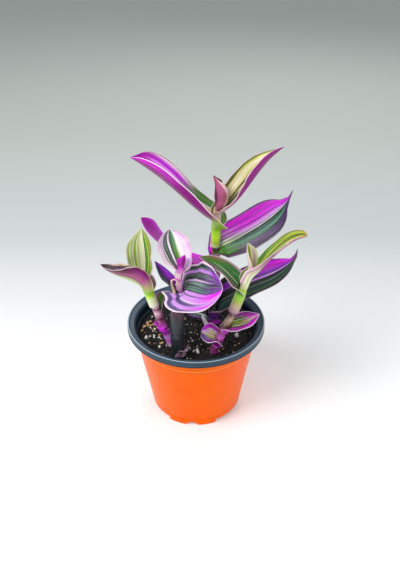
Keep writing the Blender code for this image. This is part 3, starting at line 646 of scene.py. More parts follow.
UPPER_FACES = {
    "tall_leaf_1": Look(
        "-1 plum -0.94 mauve -0.9 pine -0.7 forest -0.3 teal -0.2 forest -0.02 sage 0.02 pine 0.3 grape "
        "0.42 violet 0.7 grape 0.78 pine",
        "-1 grape -0.94 mauve -0.9 plum -0.8 pine -0.45 green -0.3 forest -0.03 sage 0.02 pine "
        "0.22 lilac 0.28 purple 0.42 violet 0.52 magenta 0.7 hot 0.92 purple",
        turn=(0.3, 0.5), tip=(0.86, 1, "plum"), rim="mauve", rim_width=0.02, streak=0.25),
    "tall_leaf_2": Look(
        "-1 purple -0.85 forest -0.1 orchid 0 forest 0.45 white 0.53 teal 0.85 purple",
        rim="purple"),
    "tall_leaf_3": Look(
        "-1 hot -0.75 magenta -0.1 berry 0 magenta 0.5 wine 0.56 hot",
        rim="magenta", rim_width=0.02, dark="berry"),
    "tall_leaf_4": Look(
        "-1 plum -0.95 ink -0.92 plum -0.86 pine -0.78 grass -0.5 green -0.42 grass -0.24 green "
        "-0.1 pear -0.02 pine 0.02 white 0.14 pine 0.2 lilac 0.34 pine 0.38 lilac 0.55 pink 0.68 neon "
        "0.92 violet",
        # in these far stripes the jade band in the lower half, from -0.4 to -0.3, is a painted highlight
        "-1 plum -0.96 ink -0.9 grape -0.64 purple -0.6 slate -0.57 pine -0.52 forest -0.46 teal "
        "-0.4 jade -0.3 teal -0.18 forest -0.03 white 0.02 ink 0.05 lilac 0.2 pink 0.28 violet 0.36 neon "
        "0.6 violet 0.64 neon 0.88 pink 0.94 purple",
        turn=(0.14, 0.4), tip=(0.84, 0.97, "purple"), rim="heather", rim_width=0.02, soft=0.008),
    "tall_leaf_5": Look(
        "-1 moss -0.94 grass -0.7 green -0.62 white -0.55 cream -0.2 blush 0.4 cream 0.8 rose",
        "-1 olive -0.96 blush -0.88 pink -0.8 violet -0.75 hot -0.68 lilac -0.6 pink -0.45 hot -0.4 pink "
        "-0.3 white -0.2 pink 0.05 orchid 0.6 blush",
        sheath="-1 lime 1 pear",
        turn=(0.3, 0.55), fade=(-0.1, 0.1), tip=(0.76, 0.93, "magenta"), rim="blush", rim_width=0.02,
        streak=0.4, light="blush", dark="violet"),
    "tall_leaf_6": Look(
        "-1 cream -0.82 olive -0.6 ivory -0.42 olive -0.3 cream -0.2 pine -0.06 cream 0 pine 0.12 olive "
        "0.18 cream 0.22 moss 0.3 olive 0.36 cream 0.5 ivory 0.62 cream 0.8 olive 0.92 moss",
        "-1 cream -0.6 citron -0.3 cream -0.05 olive 0.4 citron 0.5 cream 0.62 ivory 0.7 cream "
        "0.8 citron 0.88 olive",
        turn=(0.38, 0.6), tip=(0.75, 1.1, "olive"), rim_width=0.02, streak=0.4, light="ivory",
        dark="olive"),
    "tall_leaf_7": Look("-1 dusty 0 beige 0.5 dusty", rim="beige", dark="dusty"),
    "thick_leaf_1": Look(
        "-1 blush -0.94 slate -0.78 lilac -0.62 slate -0.45 orchid -0.4 lilac -0.2 slate -0.16 lilac "
        "-0.02 pine 0.03 jade 0.06 forest 0.12 sage 0.16 teal 0.2 pine 0.26 jade 0.34 grape 0.37 orchid "
        "0.43 pine 0.5 forest 0.58 sage 0.63 pine 0.68 lilac 0.78 sage 0.84 forest 0.94 rim",
        "-1 blush -0.94 lilac -0.78 hot -0.64 lilac -0.4 pink -0.25 hot -0.04 purple 0.06 slate "
        "0.12 purple 0.2 heather 0.26 grape 0.36 slate 0.42 purple 0.5 heather 0.58 purple 0.7 violet "
        "0.78 slate 0.86 purple",
        turn=(0.32, 0.8), rim="blush", rim_width=0.04, soft=0.014, streak=0.45, light="orchid",
        dark="grape"),
    "thick_leaf_2": Look("-1 violet -0.3 purple 0.1 pine 0.5 sage 0.75 pine", rim="slate", streak=0.25),
    "thick_leaf_3": Look(
        "-1 lilac -0.86 orchid -0.52 white -0.28 pear -0.2 grass 0 green 0.06 pine 0.1 white 0.26 forest "
        "0.31 sage 0.42 pine 0.46 sage 0.54 ivory 0.6 pine 0.64 blush",
        "-1 lilac -0.8 orchid -0.44 white -0.24 jade -0.08 green 0.04 forest 0.1 blush 0.26 pine "
        "0.3 sage 0.5 forest 0.54 orchid 0.72 grey 0.76 orchid",
        turn=(0.3, 0.9), rim_width=0.05, soft=0.02, streak=0.3, dark="mauve"),
    "thick_leaf_4": Look("-1 magenta 0 hot", rim="pink", dark="berry"),
    "left_leaf_1": Look("-1 rose -0.6 grass 0.5 olive 0.7 rose", rim="mauve"),
    "left_leaf_2": Look(
        "-1 cream -0.9 plum -0.6 sage -0.3 pine 0.2 forest 0.86 maroon",
        tip=(0.75, 0.95, "maroon"), rim_width=0.03),
    "left_leaf_3": Look(
        "-1 orchid -0.92 mauve -0.84 olive -0.66 citron -0.56 olive -0.44 citron -0.3 grass -0.14 moss "
        "-0.1 ivory 0.1 pear 0.18 cream 0.28 olive 0.32 pear 0.42 citron 0.52 grass 0.56 ivory "
        "0.66 citron 0.72 pear 0.84 citron 0.92 ivory",
        turn=(0.2, 0.9), rim="ivory", rim_width=0.02, soft=0.008, streak=0.4, light="ivory",
        dark="grass"),
    "right_leaf_1": Look(
        "-1 magenta -0.6 orchid -0.45 cream -0.15 olive -0.1 cream 0.1 pine 0.14 citron 0.3 pine "
        "0.36 heather 0.5 berry 0.85 purple",
        "-1 hot -0.6 magenta -0.4 lilac -0.1 cream 0.1 heather 0.3 purple",
        turn=(0.5, 0.85), rim="blush"),
    "right_leaf_2": Look(
        "-1 lilac -0.86 magenta -0.5 berry -0.36 moss -0.3 pear -0.2 grass -0.1 cream -0.03 moss "
        "0.03 citron 0.16 grass 0.28 pear 0.36 pine 0.44 grass 0.55 pink 0.62 plum 0.8 magenta",
        "-1 pink -0.7 hot -0.4 magenta -0.1 cream 0.12 pink 0.4 magenta 0.8 purple",
        turn=(0.45, 0.8), rim="blush"),
    "right_leaf_3": Look(
        "-1 plum -0.93 mauve -0.85 plum -0.78 green -0.4 green -0.1 forest -0.02 pear 0.02 forest "
        "0.1 green 0.36 forest 0.44 mauve 0.47 maroon 0.6 plum 0.68 blush 0.72 maroon 0.9 plum",
        "-1 dusty -0.8 olive -0.3 grass 0.1 green 0.4 blush 0.45 plum 0.7 dusty",
        turn=(0.5, 0.85), rim="ivory", rim_width=0.025, streak=0.3),
    "right_leaf_4": Look(
        "-1 rim -0.9 ivory -0.7 citron -0.6 ivory -0.4 olive -0.34 cream -0.12 moss -0.06 olive "
        "0.04 moss 0.1 citron 0.26 grass 0.42 olive 0.5 citron 0.66 olive 0.72 grass",
        "-1 beige -0.6 citron -0.2 olive 0 cream 0.12 citron 0.3 olive 0.6 citron 0.86 olive",
        turn=(0.45, 0.9), tip=(0.92, 1.06, "tan"), rim_width=0.025, streak=0.45, light="ivory",
        dark="moss"),
    "right_leaf_5": Look(
        "-1 ivory -0.8 rim -0.5 ivory -0.24 citron -0.14 moss -0.08 citron 0.2 olive 0.26 citron "
        "0.5 olive 0.58 citron 0.85 pear",
        rim="pear", streak=0.3, light="pear", dark="olive"),
    "thick_scale": Look("-1 plum -0.3 heather 0.4 plum", rim="mauve", rim_width=0.02),
    "left_scale": Look("-1 berry 0 hot", rim="pink"),
    "right_scale": Look("-1 wine 0 rose", rim="rose"),
}

UNDERSIDES = {
    "tall_leaf_1": Look("-1 purple -0.3 keel 0.3 purple", rim="mauve"),
    "tall_leaf_2": Look(MAGENTA_UNDER, rim="purple"),
    "tall_leaf_3": Look(
        "-1 hot -0.85 magenta 0 berry 0.06 magenta 0.35 berry 0.6 wine 0.86 magenta",
        sheath="-1 maroon 0.1 dusty",
        fade=(0, 0.2), rim="pink", streak=0.2, light="pink"),
    "tall_leaf_4": Look(
        "-1 plum -0.4 berry 0 keel 0.3 berry 0.8 magenta",
        sheath="-1 maroon -0.85 olive -0.2 moss 0 dusty 1 magenta",
        fade=(0, 0.2), rim="mauve"),
    "tall_leaf_5": Look(
        "-1 berry -0.45 wine -0.15 keel 0.25 wine 0.45 berry",
        "-1 magenta -0.5 berry -0.1 keel 0.22 wine 0.4 berry 0.75 magenta",
        sheath="-1 pear -0.75 citron -0.35 bright_lime 0.1 lime 0.14 citron 0.2 wine 1 berry",
        turn=(0.45, 0.8), fade=(0.1, 0.4), rim="blush", rim_width=0.025, streak=0.25, speck=0.3,
        light="magenta", dark="keel"),
    "tall_leaf_6": Look(
        "-1 berry -0.5 wine -0.2 keel 0.12 berry 0.5 magenta",
        sheath="-1 lime -0.4 citron 0 cream 0.1 rim 0.25 dusty 0.4 berry 1 berry",
        fade=(0.25, 0.55), streak=0.2, light="pink", dark="keel"),
    "tall_leaf_7": Look(
        "-1 beige -0.86 dusty -0.5 rose -0.12 maroon 0.12 rose 0.3 dusty 0.75 rim",
        sheath="-1 lime -0.2 pear 0.1 rose 1 rose",
        fade=(0, 0.35), tip=(0.8, 1, "wine"), rim="beige", streak=0.3, light="rim", dark="wine"),
    "thick_leaf_1": Look(
        "-1 lilac -0.3 berry 0 keel 0.3 berry",
        sheath="-1 maroon -0.3 pink 0 pink 1 magenta",
        fade=(0, 0.2), rim="blush"),
    "thick_leaf_2": Look("-1 violet 0 grape 0.3 pine", rim="slate", streak=0.25),
    "thick_leaf_3": Look(
        "-1 lilac -0.4 dusty 0.1 keel 0.3 magenta",
        sheath="-1 magenta -0.85 pink -0.7 rim -0.2 rim 0.05 pink 1 pink",
        fade=(0, 0.25), rim="blush"),
    "thick_leaf_4": Look(
        "-1 magenta -0.3 berry 0.2 magenta",
        sheath="-1 rim -0.2 pink 1 magenta",
        fade=(-0.1, 0.25), rim="berry", light="pink", dark="berry"),
    "left_leaf_1": Look("-1 rose -0.5 olive 0.4 grass 0.7 rose", rim="mauve"),
    "left_leaf_2": Look(
        "-1 rim -0.9 rose -0.3 plum -0.14 citron 0.08 pear 0.18 citron 0.28 mauve 0.36 plum 0.4 dusty "
        "0.56 rose 0.7 berry 0.88 wine",
        "-1 maroon -0.12 citron 0.2 dusty 0.32 maroon 0.45 rose 0.6 wine 0.75 maroon",
        sheath="-1 blush -0.85 ivory -0.35 pear -0.12 bright_lime 0.08 lime 0.2 citron 0.35 mauve 1 rose",
        turn=(0.4, 0.72), fade=(0.02, 0.3), rim_width=0.03, streak=0.3, light="mauve", dark="wine"),
    "left_leaf_3": Look(
        "-1 cream -0.4 dusty 0 citron 0.4 dusty",
        sheath="-1 pear 0.1 citron 1 dusty",
        fade=(0, 0.4), rim="mauve"),
    "right_leaf_1": Look(MAGENTA_UNDER, rim="blush"),
    "right_leaf_2": Look(MAGENTA_UNDER, rim="blush"),
    "right_leaf_3": Look(
        "-1 dusty -0.3 plum 0.2 green 0.6 plum",
        sheath="-1 rose -0.85 mauve -0.5 beige -0.2 citron 0.02 lime 0.1 grass 1 plum",
        fade=(0.02, 0.3), rim="ivory", rim_width=0.025),
    "right_leaf_4": Look(
        "-1 rim -0.9 mauve -0.8 ivory -0.6 citron -0.52 ivory -0.2 pear -0.1 lime 0.12 ivory 0.5 mauve",
        "-1 plum -0.85 dusty -0.6 plum -0.2 maroon 0.1 olive 0.5 dusty",
        sheath="-1 bright_lime -0.3 bright_lime 0 citron 0.08 pear 0.2 ivory 1 mauve",
        turn=(0.22, 0.45), fade=(-0.1, 0.12), tip=(0.85, 1.05, "tan"), rim_width=0.025, streak=0.3,
        light="ivory", dark="mauve"),
    "right_leaf_5": Look(
        "-1 ivory -0.8 rim -0.5 ivory -0.24 citron -0.12 olive -0.05 citron 0.2 olive 0.24 citron "
        "0.4 ivory 0.6 rim 0.9 ivory",
        sheath="-1 lime 0.1 plum 1 plum",
        rim_width=0.02),
    "thick_scale": Look("-1 plum -0.3 mauve 0.3 plum", rim="mauve", rim_width=0.02),
    "left_scale": Look("-1 magenta 0 hot", rim="pink"),
    "right_scale": Look("-1 wine 0 berry", rim="rose"),
}

LEAF_ROUGHNESS = (0.28, 0.44)
LEAF_MIRROR = 0.32
SEED_STEP = 7.3        # between one leaf's noise and the next
UNDER_SEED = 3.1       # from a leaf's upper face to its underside


def leaf_material(name, look, seed):
    """Wandering stripes, fine lines, pale dots, the rim, and bumps along the veins."""
    paint = Painter(name)
    leaf_place = paint.make("ShaderNodeUVMap", {}, uv_map="leaf")
    along_leaf, across_leaf, _ = paint.split(leaf_place)
    from_midrib = paint.math("ABSOLUTE", across_leaf)

    def streaks(lengthwise, across, crosswise, shift, detail, rough=0.5):
        """Noise with its own scale along and across the leaf."""
        spot = paint.join(paint.times(along_leaf, lengthwise),
                          paint.times(across, crosswise), seed + shift)
        return paint.noise(spot, 1.0, detail, rough)

    def veins(start, count, shift):
        """Noise across the leaf that stays the same all along it."""
        spot = paint.join(start, paint.times(across_leaf, count), seed + shift)
        return paint.noise(spot, 1.0, 1)

    drift = paint.sway(streaks(2.2, across_leaf, 1.2, 0, 3), 0.16)
    moved = paint.add(across_leaf, drift, paint.step(from_midrib, 1.0, 0.8))
    fine = streaks(1.6, moved, 17.0, 3, 4, 0.6)
    position = paint.to_share(paint.sway(fine, 0.07, moved))
    color = paint.ramp(position, band_stops(look.near, look.soft))
    if look.far:
        far = paint.ramp(position, band_stops(look.far, look.soft))
        wander = paint.sway(streaks(1.0, moved, 9.0, 9, 2), 0.5, along_leaf)
        color = paint.mix(paint.step(wander, *look.turn), color, far)
    lines = streaks(1.3, moved, 60.0, 5, 4, 0.75)
    strength = 1.4 * look.streak
    color = paint.mix(paint.step(lines, 0.56, 0.66, 0.0, strength), color, look.light)
    color = paint.mix(paint.step(lines, 0.45, 0.33, 0.0, strength), color, look.dark)
    dots = paint.cells(paint.place(), 1900.0)
    color = paint.mix(paint.step(dots, 0.35, 0.05, 0.0, look.speck), color, "white")
    if look.sheath:
        shift = paint.sway(fine, 0.12, along_leaf)
        sheath = paint.ramp(paint.to_share(shift), shaded_stops(look.sheath, -1, 1))
        pale = paint.step(veins(0.3, 22.0, 1), 0.45, 0.62, 0.0, 0.3)
        sheath = paint.mix(pale, sheath, "pear")
        color = paint.mix(paint.step(shift, *look.fade), sheath, color)
    edge = paint.step(from_midrib, 1 - 1.6 * look.rim_width, 1 - 0.8 * look.rim_width)
    color = paint.mix(edge, color, look.rim)
    if look.tip:
        start, end, tip_color = look.tip
        reach = paint.sway(fine, 0.35, along_leaf)
        color = paint.mix(paint.step(reach, start, end), color, tip_color)
    grain = paint.noise(paint.place(), 1400.0, 2, 0.6)
    paint.bump(paint.add(veins(0.2, 30.0, 0), grain, 0.35), 0.16, 0.7)
    return paint.finish(color, paint.step(grain, 0.3, 0.7, *LEAF_ROUGHNESS),
                        Specular_IOR_Level=LEAF_MIRROR)


# ---- looks of the stems ----
STEM_COLORS = {      # height and colour, from the foot up
    "tall": "60 soot 84 soot 98 brown 101 maroon 104 rose 107 wine 109 olive 124 olive 133.2 olive "
            "134.4 maroon 136 maroon 140 lime",
    "thick": "60 soot 100 soot 111 maroon 116 pink 131 rim 134 magenta 138 pink",
    "left": "60 brown 66 brown 69 blush 73 pink 77 lilac 80 magenta 83 hot 84 maroon 85.5 pink 91 rose "
            "93.6 maroon 94.4 dusty 98 rim 100.5 dusty 101.5 maroon 102.5 rim 106 pear",
    "right": "60 berry 68 wine 70 brown 73.5 brown 74.5 pink 77.4 pink 78.2 maroon 79 rose 83 pink "
             "86.5 rose 88 maroon 89.5 rose 92 brown 98 beige 102.4 brown 103.6 maroon 105 rose",
}
STEM_LINES = {"thick": (0.3, "heather")}   # strength and colour of its fine lines
OTHER_LINES = (0.5, "blush")


def stem_material(name):
    """Skin in bands by height, with fine lines along the stem."""
    paint = Painter(name + "_skin")
    place = paint.place()
    x, y, z = paint.split(place)
    bands = STEM_COLORS[name]
    levels = [level for level, _ in color_list(bands)]
    low, high = levels[0], levels[-1]
    height = paint.sway(paint.noise(place, 240.0), 2.4 * MM, z)
    share = paint.math("DIVIDE", paint.math("SUBTRACT", height, low * MM), (high - low) * MM)
    color = paint.ramp(share, shaded_stops(bands, low, high))
    lines = paint.noise(paint.join(paint.times(x, 9.0), paint.times(y, 9.0), z), 160.0, 3, 0.6)
    strength, light = STEM_LINES.get(name, OTHER_LINES)
    color = paint.mix(paint.step(lines, 0.54, 0.68, 0.0, strength), color, light)
    color = paint.mix(paint.step(lines, 0.48, 0.3, 0.0, 0.4), color, "ink", "MULTIPLY")
    paint.bump(paint.add(lines, paint.noise(place, 1500.0)), 0.12, 0.6)
    return paint.finish(color, paint.step(lines, 0.3, 0.7, 0.3, 0.42))


# ---- pot ----
UNDER_RIM = 72.0       # height of the rim's underside
COLLAR_FOOT = 67.2     # height at which the collar starts
COLLAR = 47.8          # radius of the collar
WALL_HIGH = 46.4       # radius of the wall under the collar
WALL_LOW = 35.9        # and above the band
BAND = 6.6             # height of the band round the feet
FOOT = 35.4            # radius of the feet
FOOT_WALL = 1.5        # thickness of the feet
LIFT = 3.6             # height of the floor's underside
FLOOR = 4.8            # and of its upper side
PAD = 12.0             # radius of the flat middle that stands with the feet
LAYER = 0.9            # thickness of each wall
GAP = 0.3              # between the shell and the liner
FEET = 3
FOOT_TURN = -5.0
NOTCH_WIDTH = 9.0
NOTCH_HEIGHT = 3.2
FOOT_SPACE = 34.6      # width of the opening between two feet
SPACE_HEIGHT = 3.0
SPACE_SLOPE = 0.5      # width over which an opening rises to its height
POT_SIDES = 480
ROUNDING_STEPS = 4

# bands at a height: (from, to, softness, colour, strength); several are painted highlights and painted
# shadow lines
# shell: a painted shadow line with a painted highlight line just above it, standing for a faint moulded
# line on the wall; then a slightly more saturated orange band up to the rim, and a darker line just under
# the top of the band round the feet
SHELL_SHADE_AND_TONE_BANDS = [(60.9, 62.0, 0.5, "dc4a00", 0.5), (62.1, 62.9, 0.25, "ff9c50", 0.8),
               (63.4, 72.0, 0.6, "f06a00", 0.7), (5.8, 6.6, 0.4, "e05000", 0.6)]
# liner: painted highlights on the rim, a light line on the lip's top and two lighter bands lower down the
# rim
LINER_HIGHLIGHT_BANDS = [(77.1, 78.0, 0.15, "b4ccdc", 0.8), (73.4, 74.6, 0.5, "48647a", 0.5),
               (75.4, 76.9, 0.4, "40586a", 0.6)]


def wall_radius(z):
    share = (z - BAND) / (COLLAR_FOOT - BAND)
    return WALL_LOW + (WALL_HIGH - WALL_LOW) * share


def foot_cut(angle):
    """Height of the foot ring's lower edge at an angle round +Z."""
    height = 0.0
    for foot in range(FEET):
        notch = math.radians(FOOT_TURN + 360 / FEET * foot - 90)
        for centre, is_notch in ((notch, True), (notch + math.pi / FEET, False)):
            off = (angle - centre + math.pi) % (2 * math.pi) - math.pi
            if abs(off) > 1:
                continue
            reach = abs(FOOT * math.sin(off))
            slope = (FOOT_SPACE + SPACE_SLOPE) / 2 - reach
            if is_notch and reach < NOTCH_WIDTH / 2:
                share = 2 * reach / NOTCH_WIDTH
                height = max(height, NOTCH_HEIGHT * math.sqrt(1 - share * share))
            if not is_notch and slope > 0:
                height = max(height, SPACE_HEIGHT * min(1.0, slope / SPACE_SLOPE))
    return height


def rounded(profile, reach):
    """A (radius, height) profile with its inner corners rounded."""
    points = [np.array(p, float) for p in profile]
    out = [points[0]]
    for before, corner, after in zip(points, points[1:], points[2:]):
        back, ahead = before - corner, after - corner
        size = min(reach, 0.45 * np.linalg.norm(back), 0.45 * np.linalg.norm(ahead))
        start, end = corner + unit(back) * size, corner + unit(ahead) * size
        for s in np.linspace(0, 1, ROUNDING_STEPS):
            out.append((1 - s) ** 2 * start + 2 * s * (1 - s) * corner + s * s * end)
    out.append(points[-1])
    return out


def add_lathe(node, profile_at, material):
    """A closed surface turned about the pot's axis; the profile may change round it."""
    columns = []
    for angle in np.linspace(0, 2 * np.pi, POT_SIDES, endpoint=False):
        radius, height = np.array(profile_at(angle)).T
        columns.append(np.stack([radius * math.cos(angle), radius * math.sin(angle),
                                 height], -1))
    grid = np.array(columns).transpose(1, 0, 2)
    faces = quads(len(grid), POT_SIDES, 0, False, closed=True)
    add_fine(node, grid.reshape(-1, 3), faces, [material], 0.004)


def shell_profile(angle):
    """The shell from the middle of its floor over the collar and back under the feet."""
    cut = foot_cut(angle)
    top = UNDER_RIM - GAP
    inside = FOOT - FOOT_WALL
    upper = rounded([
        (0, FLOOR), (wall_radius(FLOOR) - LAYER, FLOOR),
        (wall_radius(COLLAR_FOOT) - LAYER, COLLAR_FOOT),
        (COLLAR - LAYER, COLLAR_FOOT + 1.2), (COLLAR - LAYER, top),
        (COLLAR, top), (COLLAR, COLLAR_FOOT + 0.4), (COLLAR - 0.4, COLLAR_FOOT),
        (WALL_HIGH, COLLAR_FOOT - 0.3), (WALL_LOW, BAND + 0.2), (FOOT + 0.1, BAND - 0.2),
        (FOOT + 0.05, 4.2)], 0.45)
    lower = [(FOOT, cut + 0.3), (FOOT - 0.1, cut + 0.08), (FOOT - 0.3, cut),
             (inside + 0.2, cut), (inside, cut + 0.2)]
    under = [(inside, LIFT), (PAD + 2, LIFT), (PAD + 0.2, 0.1), (PAD, 0), (0, 0)]
    return upper + lower + under


def liner_profile(_):
    """The liner from the middle of its floor over the rim and back."""
    inset = LAYER + GAP
    floor = FLOOR + GAP
    lining = floor + LAYER
    return rounded([
        (0, lining), (wall_radius(lining) - inset - LAYER, lining),
        (wall_radius(COLLAR_FOOT) - inset - LAYER, COLLAR_FOOT),
        (COLLAR - inset - LAYER, COLLAR_FOOT + 1.2),
        (COLLAR - 1.9, RIM_TOP - 5.6), (COLLAR - 1.4, RIM_TOP - 2.9),
        (COLLAR - 0.4, RIM_TOP - 2.0), (RIM_RADIUS - 1.6, RIM_TOP - 1.0),
        (RIM_RADIUS - 1.1, RIM_TOP - 0.2), (RIM_RADIUS - 0.5, RIM_TOP),
        (RIM_RADIUS - 0.1, RIM_TOP - 0.4), (RIM_RADIUS - 0.3, UNDER_RIM + 1.6),
        (RIM_RADIUS, UNDER_RIM + 0.9), (RIM_RADIUS, UNDER_RIM + 0.3),
        (RIM_RADIUS - 0.5, UNDER_RIM), (COLLAR - inset, UNDER_RIM),
        (COLLAR - inset, COLLAR_FOOT + 1.2), (wall_radius(COLLAR_FOOT) - inset, COLLAR_FOOT),
        (wall_radius(floor) - inset, floor), (0, floor)], 0.3)


def plastic(name, color, worn, tint, mirror, turn, light_and_tone_bands):
    """Moulded plastic: faint clouds, fine scuffs, a soft orange-peel surface, and bands at given heights,
    several of them painted highlights and painted shadow lines.
    """
    paint = Painter(name)
    place = paint.place()
    clouds = paint.noise(place, 28.0, 3)
    shade = paint.mix(paint.step(clouds, 0.35, 0.7, 0.0, 0.35), color, worn)
    scuff_place = paint.make("ShaderNodeMapping", {
        "Vector": place, "Scale": (1.0, 1.0, 0.12), "Rotation": (0.3, 0.4 + turn, 0.0)})
    scuffs = paint.noise(scuff_place, 900.0, 4, 0.7)
    shade = paint.mix(paint.step(scuffs, 0.66, 0.74, 0.0, 0.3), shade, worn)
    level = paint.times(paint.split(place)[2], 1 / MM)
    # the bands by height, several of them painted highlights and painted shadow lines
    for low, high, soft, band_color, strength in light_and_tone_bands:
        inside = paint.times(paint.step(level, low - soft, low + soft, 0.0, strength),
                             paint.step(level, high + soft, high - soft))
        shade = paint.mix(inside, shade, band_color)
    paint.bump(paint.add(paint.noise(place, 520.0), scuffs, 0.3), 0.05, 0.5)
    rough = paint.step(paint.add(clouds, scuffs, 0.4), 0.45, 0.95, 0.25, 0.45)
    return paint.finish(shade, rough, Specular_IOR_Level=mirror, Specular_Tint=tint)


# ---- soil ----
SOIL_LEVEL = 67.4
SOIL_RADIUS = 43.7
SOIL_EDGE = 0.88       # share of the radius outside which the soil sinks to the wall
SOIL_FOOT = 8.0        # height of its underside
SOIL_FOOT_RADIUS = 33.0
SOIL_RINGS = 90
SOIL_SIDES = 300
BITS_REACH = 42.0      # the loose bits lie within this radius
STEM_CLEAR = 1.0       # and keep this far from a stem
BITS_SEED = 11

# bits placed one by one: (x, y, size, share of its thickness that its middle is raised)
LARGE_CHIPS = [(-37.0, 8.0, 2.3, 0.7), (-39.8, 1.6, 2.1, 0.7), (-36.2, 3.0, 2.2, 0.8),
               (-33.5, 6.0, 1.3, 0.6), (-26.0, -18.0, 1.3, 0.6), (-9.0, 13.0, 1.6, 0.6),
               (16.6, -27.0, 1.4, 0.6), (20.0, -24.5, 1.0, 0.6)]
LARGE_GRAINS = [(-37.5, -12.5, 2.0, 0.6), (-35.0, -10.0, 1.2, 0.6), (-27.0, -23.5, 1.3, 0.6),
                (31.0, -9.4, 1.9, 0.6), (1.2, -29.0, 1.8, 0.6), (-1.6, -28.0, 1.2, 0.6)]


def soil_height(x, y):
    spot = Vector((x, y, 0.0))
    height = SOIL_LEVEL + 0.5 * math.sin(0.13 * x + 0.6) * math.cos(0.11 * y - 0.4)
    height += 1.3 * noise.noise(spot * 0.16) + 0.9 * noise.noise(spot * 0.45)
    height += 0.5 * noise.noise(spot * 1.1)
    edge = math.hypot(x, y) / SOIL_RADIUS
    return height - 1.2 * max(0.0, edge - SOIL_EDGE) / (1 - SOIL_EDGE)


def add_fine_soil(material):
    """The whole body of soil: an uneven top, the side and a flat underside."""
    places = [(0, 0, soil_height(0, 0))]
    angles = np.linspace(0, 2 * np.pi, SOIL_SIDES, endpoint=False)
    for ring in range(1, SOIL_RINGS + 1):
        radius = SOIL_RADIUS * ring / SOIL_RINGS
        for angle in angles:
            x, y = radius * math.cos(angle), radius * math.sin(angle)
            places.append((x, y, soil_height(x, y)))
    places += [(SOIL_FOOT_RADIUS * math.cos(a), SOIL_FOOT_RADIUS * math.sin(a), SOIL_FOOT)
               for a in angles]
    places.append((0, 0, SOIL_FOOT))
    faces = quads(SOIL_RINGS + 1, SOIL_SIDES, 1, False, closed=True)
    base = 1 + SOIL_RINGS * SOIL_SIDES
    for k in range(SOIL_SIDES):
        after = (k + 1) % SOIL_SIDES
        faces.append((0, 1 + k, 1 + after))
        faces.append((base + k, len(places) - 1, base + after))
    add_fine("soil", places, faces, [material], 0.0001)


def soil_material():
    """Near black soil with pale fibres and a coarse, lumpy surface."""
    paint = Painter("soil_grain")
    place = paint.place()
    coarse = paint.noise(place, 420.0, 5, 0.7)
    color = paint.ramp(coarse, color_list("0.35 030303 0.5 090808 0.6 151312 0.72 40382f"))
    fibres = paint.noise(place, 1300.0, 3, 0.7)
    color = paint.mix(paint.step(fibres, 0.63, 0.68, 0.0, 0.7), color, "8c7860")
    height = paint.add(coarse, paint.cells(place, 520.0), 0.8)
    paint.bump(paint.add(height, fibres, 0.4), 0.9, 0.9)
    return paint.finish(color, paint.step(coarse, 0.3, 0.7, 0.7, 0.95))


def bit_material(name, low, high, pit, rough):
    """A mottled surface from low to high with pits of a third colour."""
    paint = Painter(name)
    place = paint.place()
    color = paint.mix(paint.step(paint.noise(place, 260.0, 3), 0.3, 0.7), low, high)
    grain = paint.noise(place, 1500.0, 3, 0.7)
    color = paint.mix(paint.step(grain, 0.5, 0.3, 0.0, 0.6), color, pit)
    paint.bump(grain, 0.3, 0.8)
    return paint.finish(color, paint.step(grain, 0.3, 0.7, rough - 0.1, rough + 0.05))


def pebble(draw, centre, size, flat):
    """Points and faces of one rough lump: a ball of triangles pushed about by noise."""
    mesh = bmesh.new()
    bmesh.ops.create_icosphere(mesh, subdivisions=2, radius=1.0)
    spin = [draw.uniform(0, math.tau) for _ in range(3)]
    shift = Vector([draw.uniform(-9, 9) for _ in range(3)])
    stretch = Vector((draw.uniform(0.8, 1.4), draw.uniform(0.6, 1.0),
                      flat * draw.uniform(0.6, 1.1)))
    if flat < 0.5:
        spin = (draw.gauss(0, 0.3), draw.gauss(0, 0.3), spin[2])
    turn = Euler(spin).to_matrix()
    points = []
    for vert in mesh.verts:
        p = vert.co * (1 + 0.45 * noise.noise(vert.co * 1.3 + shift)
                       + 0.16 * noise.noise(vert.co * 3.7 + shift))
        points.append(np.array(centre) + np.array(turn @ (p * stretch)) * size)
    faces = [tuple(v.index for v in face.verts) for face in mesh.faces]
    mesh.free()
    return points, faces


def add_bits(name, spots, flat, material, draw):
    """One piece of many loose lumps on the soil."""
    places, faces = [], []
    for x, y, size, raised in spots:
        centre = (x, y, soil_height(x, y) + size * flat * raised)
        points, triangles = pebble(draw, centre, size, flat)
        faces += [tuple(k + len(places) for k in triangle) for triangle in triangles]
        places += points
    item = add_mesh(name, places, faces, [material])


def clear_of_stems(x, y):
    for stem in STEMS.values():
        foot, _, radius = stem.level(SOIL_LEVEL)
        if math.hypot(x - foot[0], y - foot[1]) < radius + STEM_CLEAR:
            return False
    return True


def scatter(draw, count, sizes, centre=(0, 0), spread=None, raised=(0.0, 0.5)):
    """Seeded places (x, y, size, raised) on the soil, evenly or round a centre."""
    spots = []
    while len(spots) < count:
        if spread:
            x, y = draw.gauss(centre[0], spread[0]), draw.gauss(centre[1], spread[1])
        else:
            radius = BITS_REACH * math.sqrt(draw.random())
            angle = draw.uniform(0, math.tau)
            x, y = radius * math.cos(angle), radius * math.sin(angle)
        if math.hypot(x, y) < BITS_REACH and clear_of_stems(x, y):
            spots.append((x, y, draw.uniform(*sizes), draw.uniform(*raised)))
    return spots


# ---- stage, in metres ----
FLOOR_REACH = 6.0
LIGHT_AIM = (0, 0, 0.08)
LIGHTS = {"key": ((-0.70, -0.45, 1.05), 0.8, 12.5), "fill": ((0.9, -0.7, 0.6), 1.0, 2.8),
          "back": ((0.25, 0.9, 0.9), 0.8, 3.6)}      # place, size and power
SKY = (0.90, 0.93, 0.95, 1)
SKY_STRENGTH = 0.5
CAMERA_PLACE = (0.003, -0.394, 0.362)
CAMERA_TILT = 32.8     # degrees down from the level
LENS = 40
SENSOR = 36


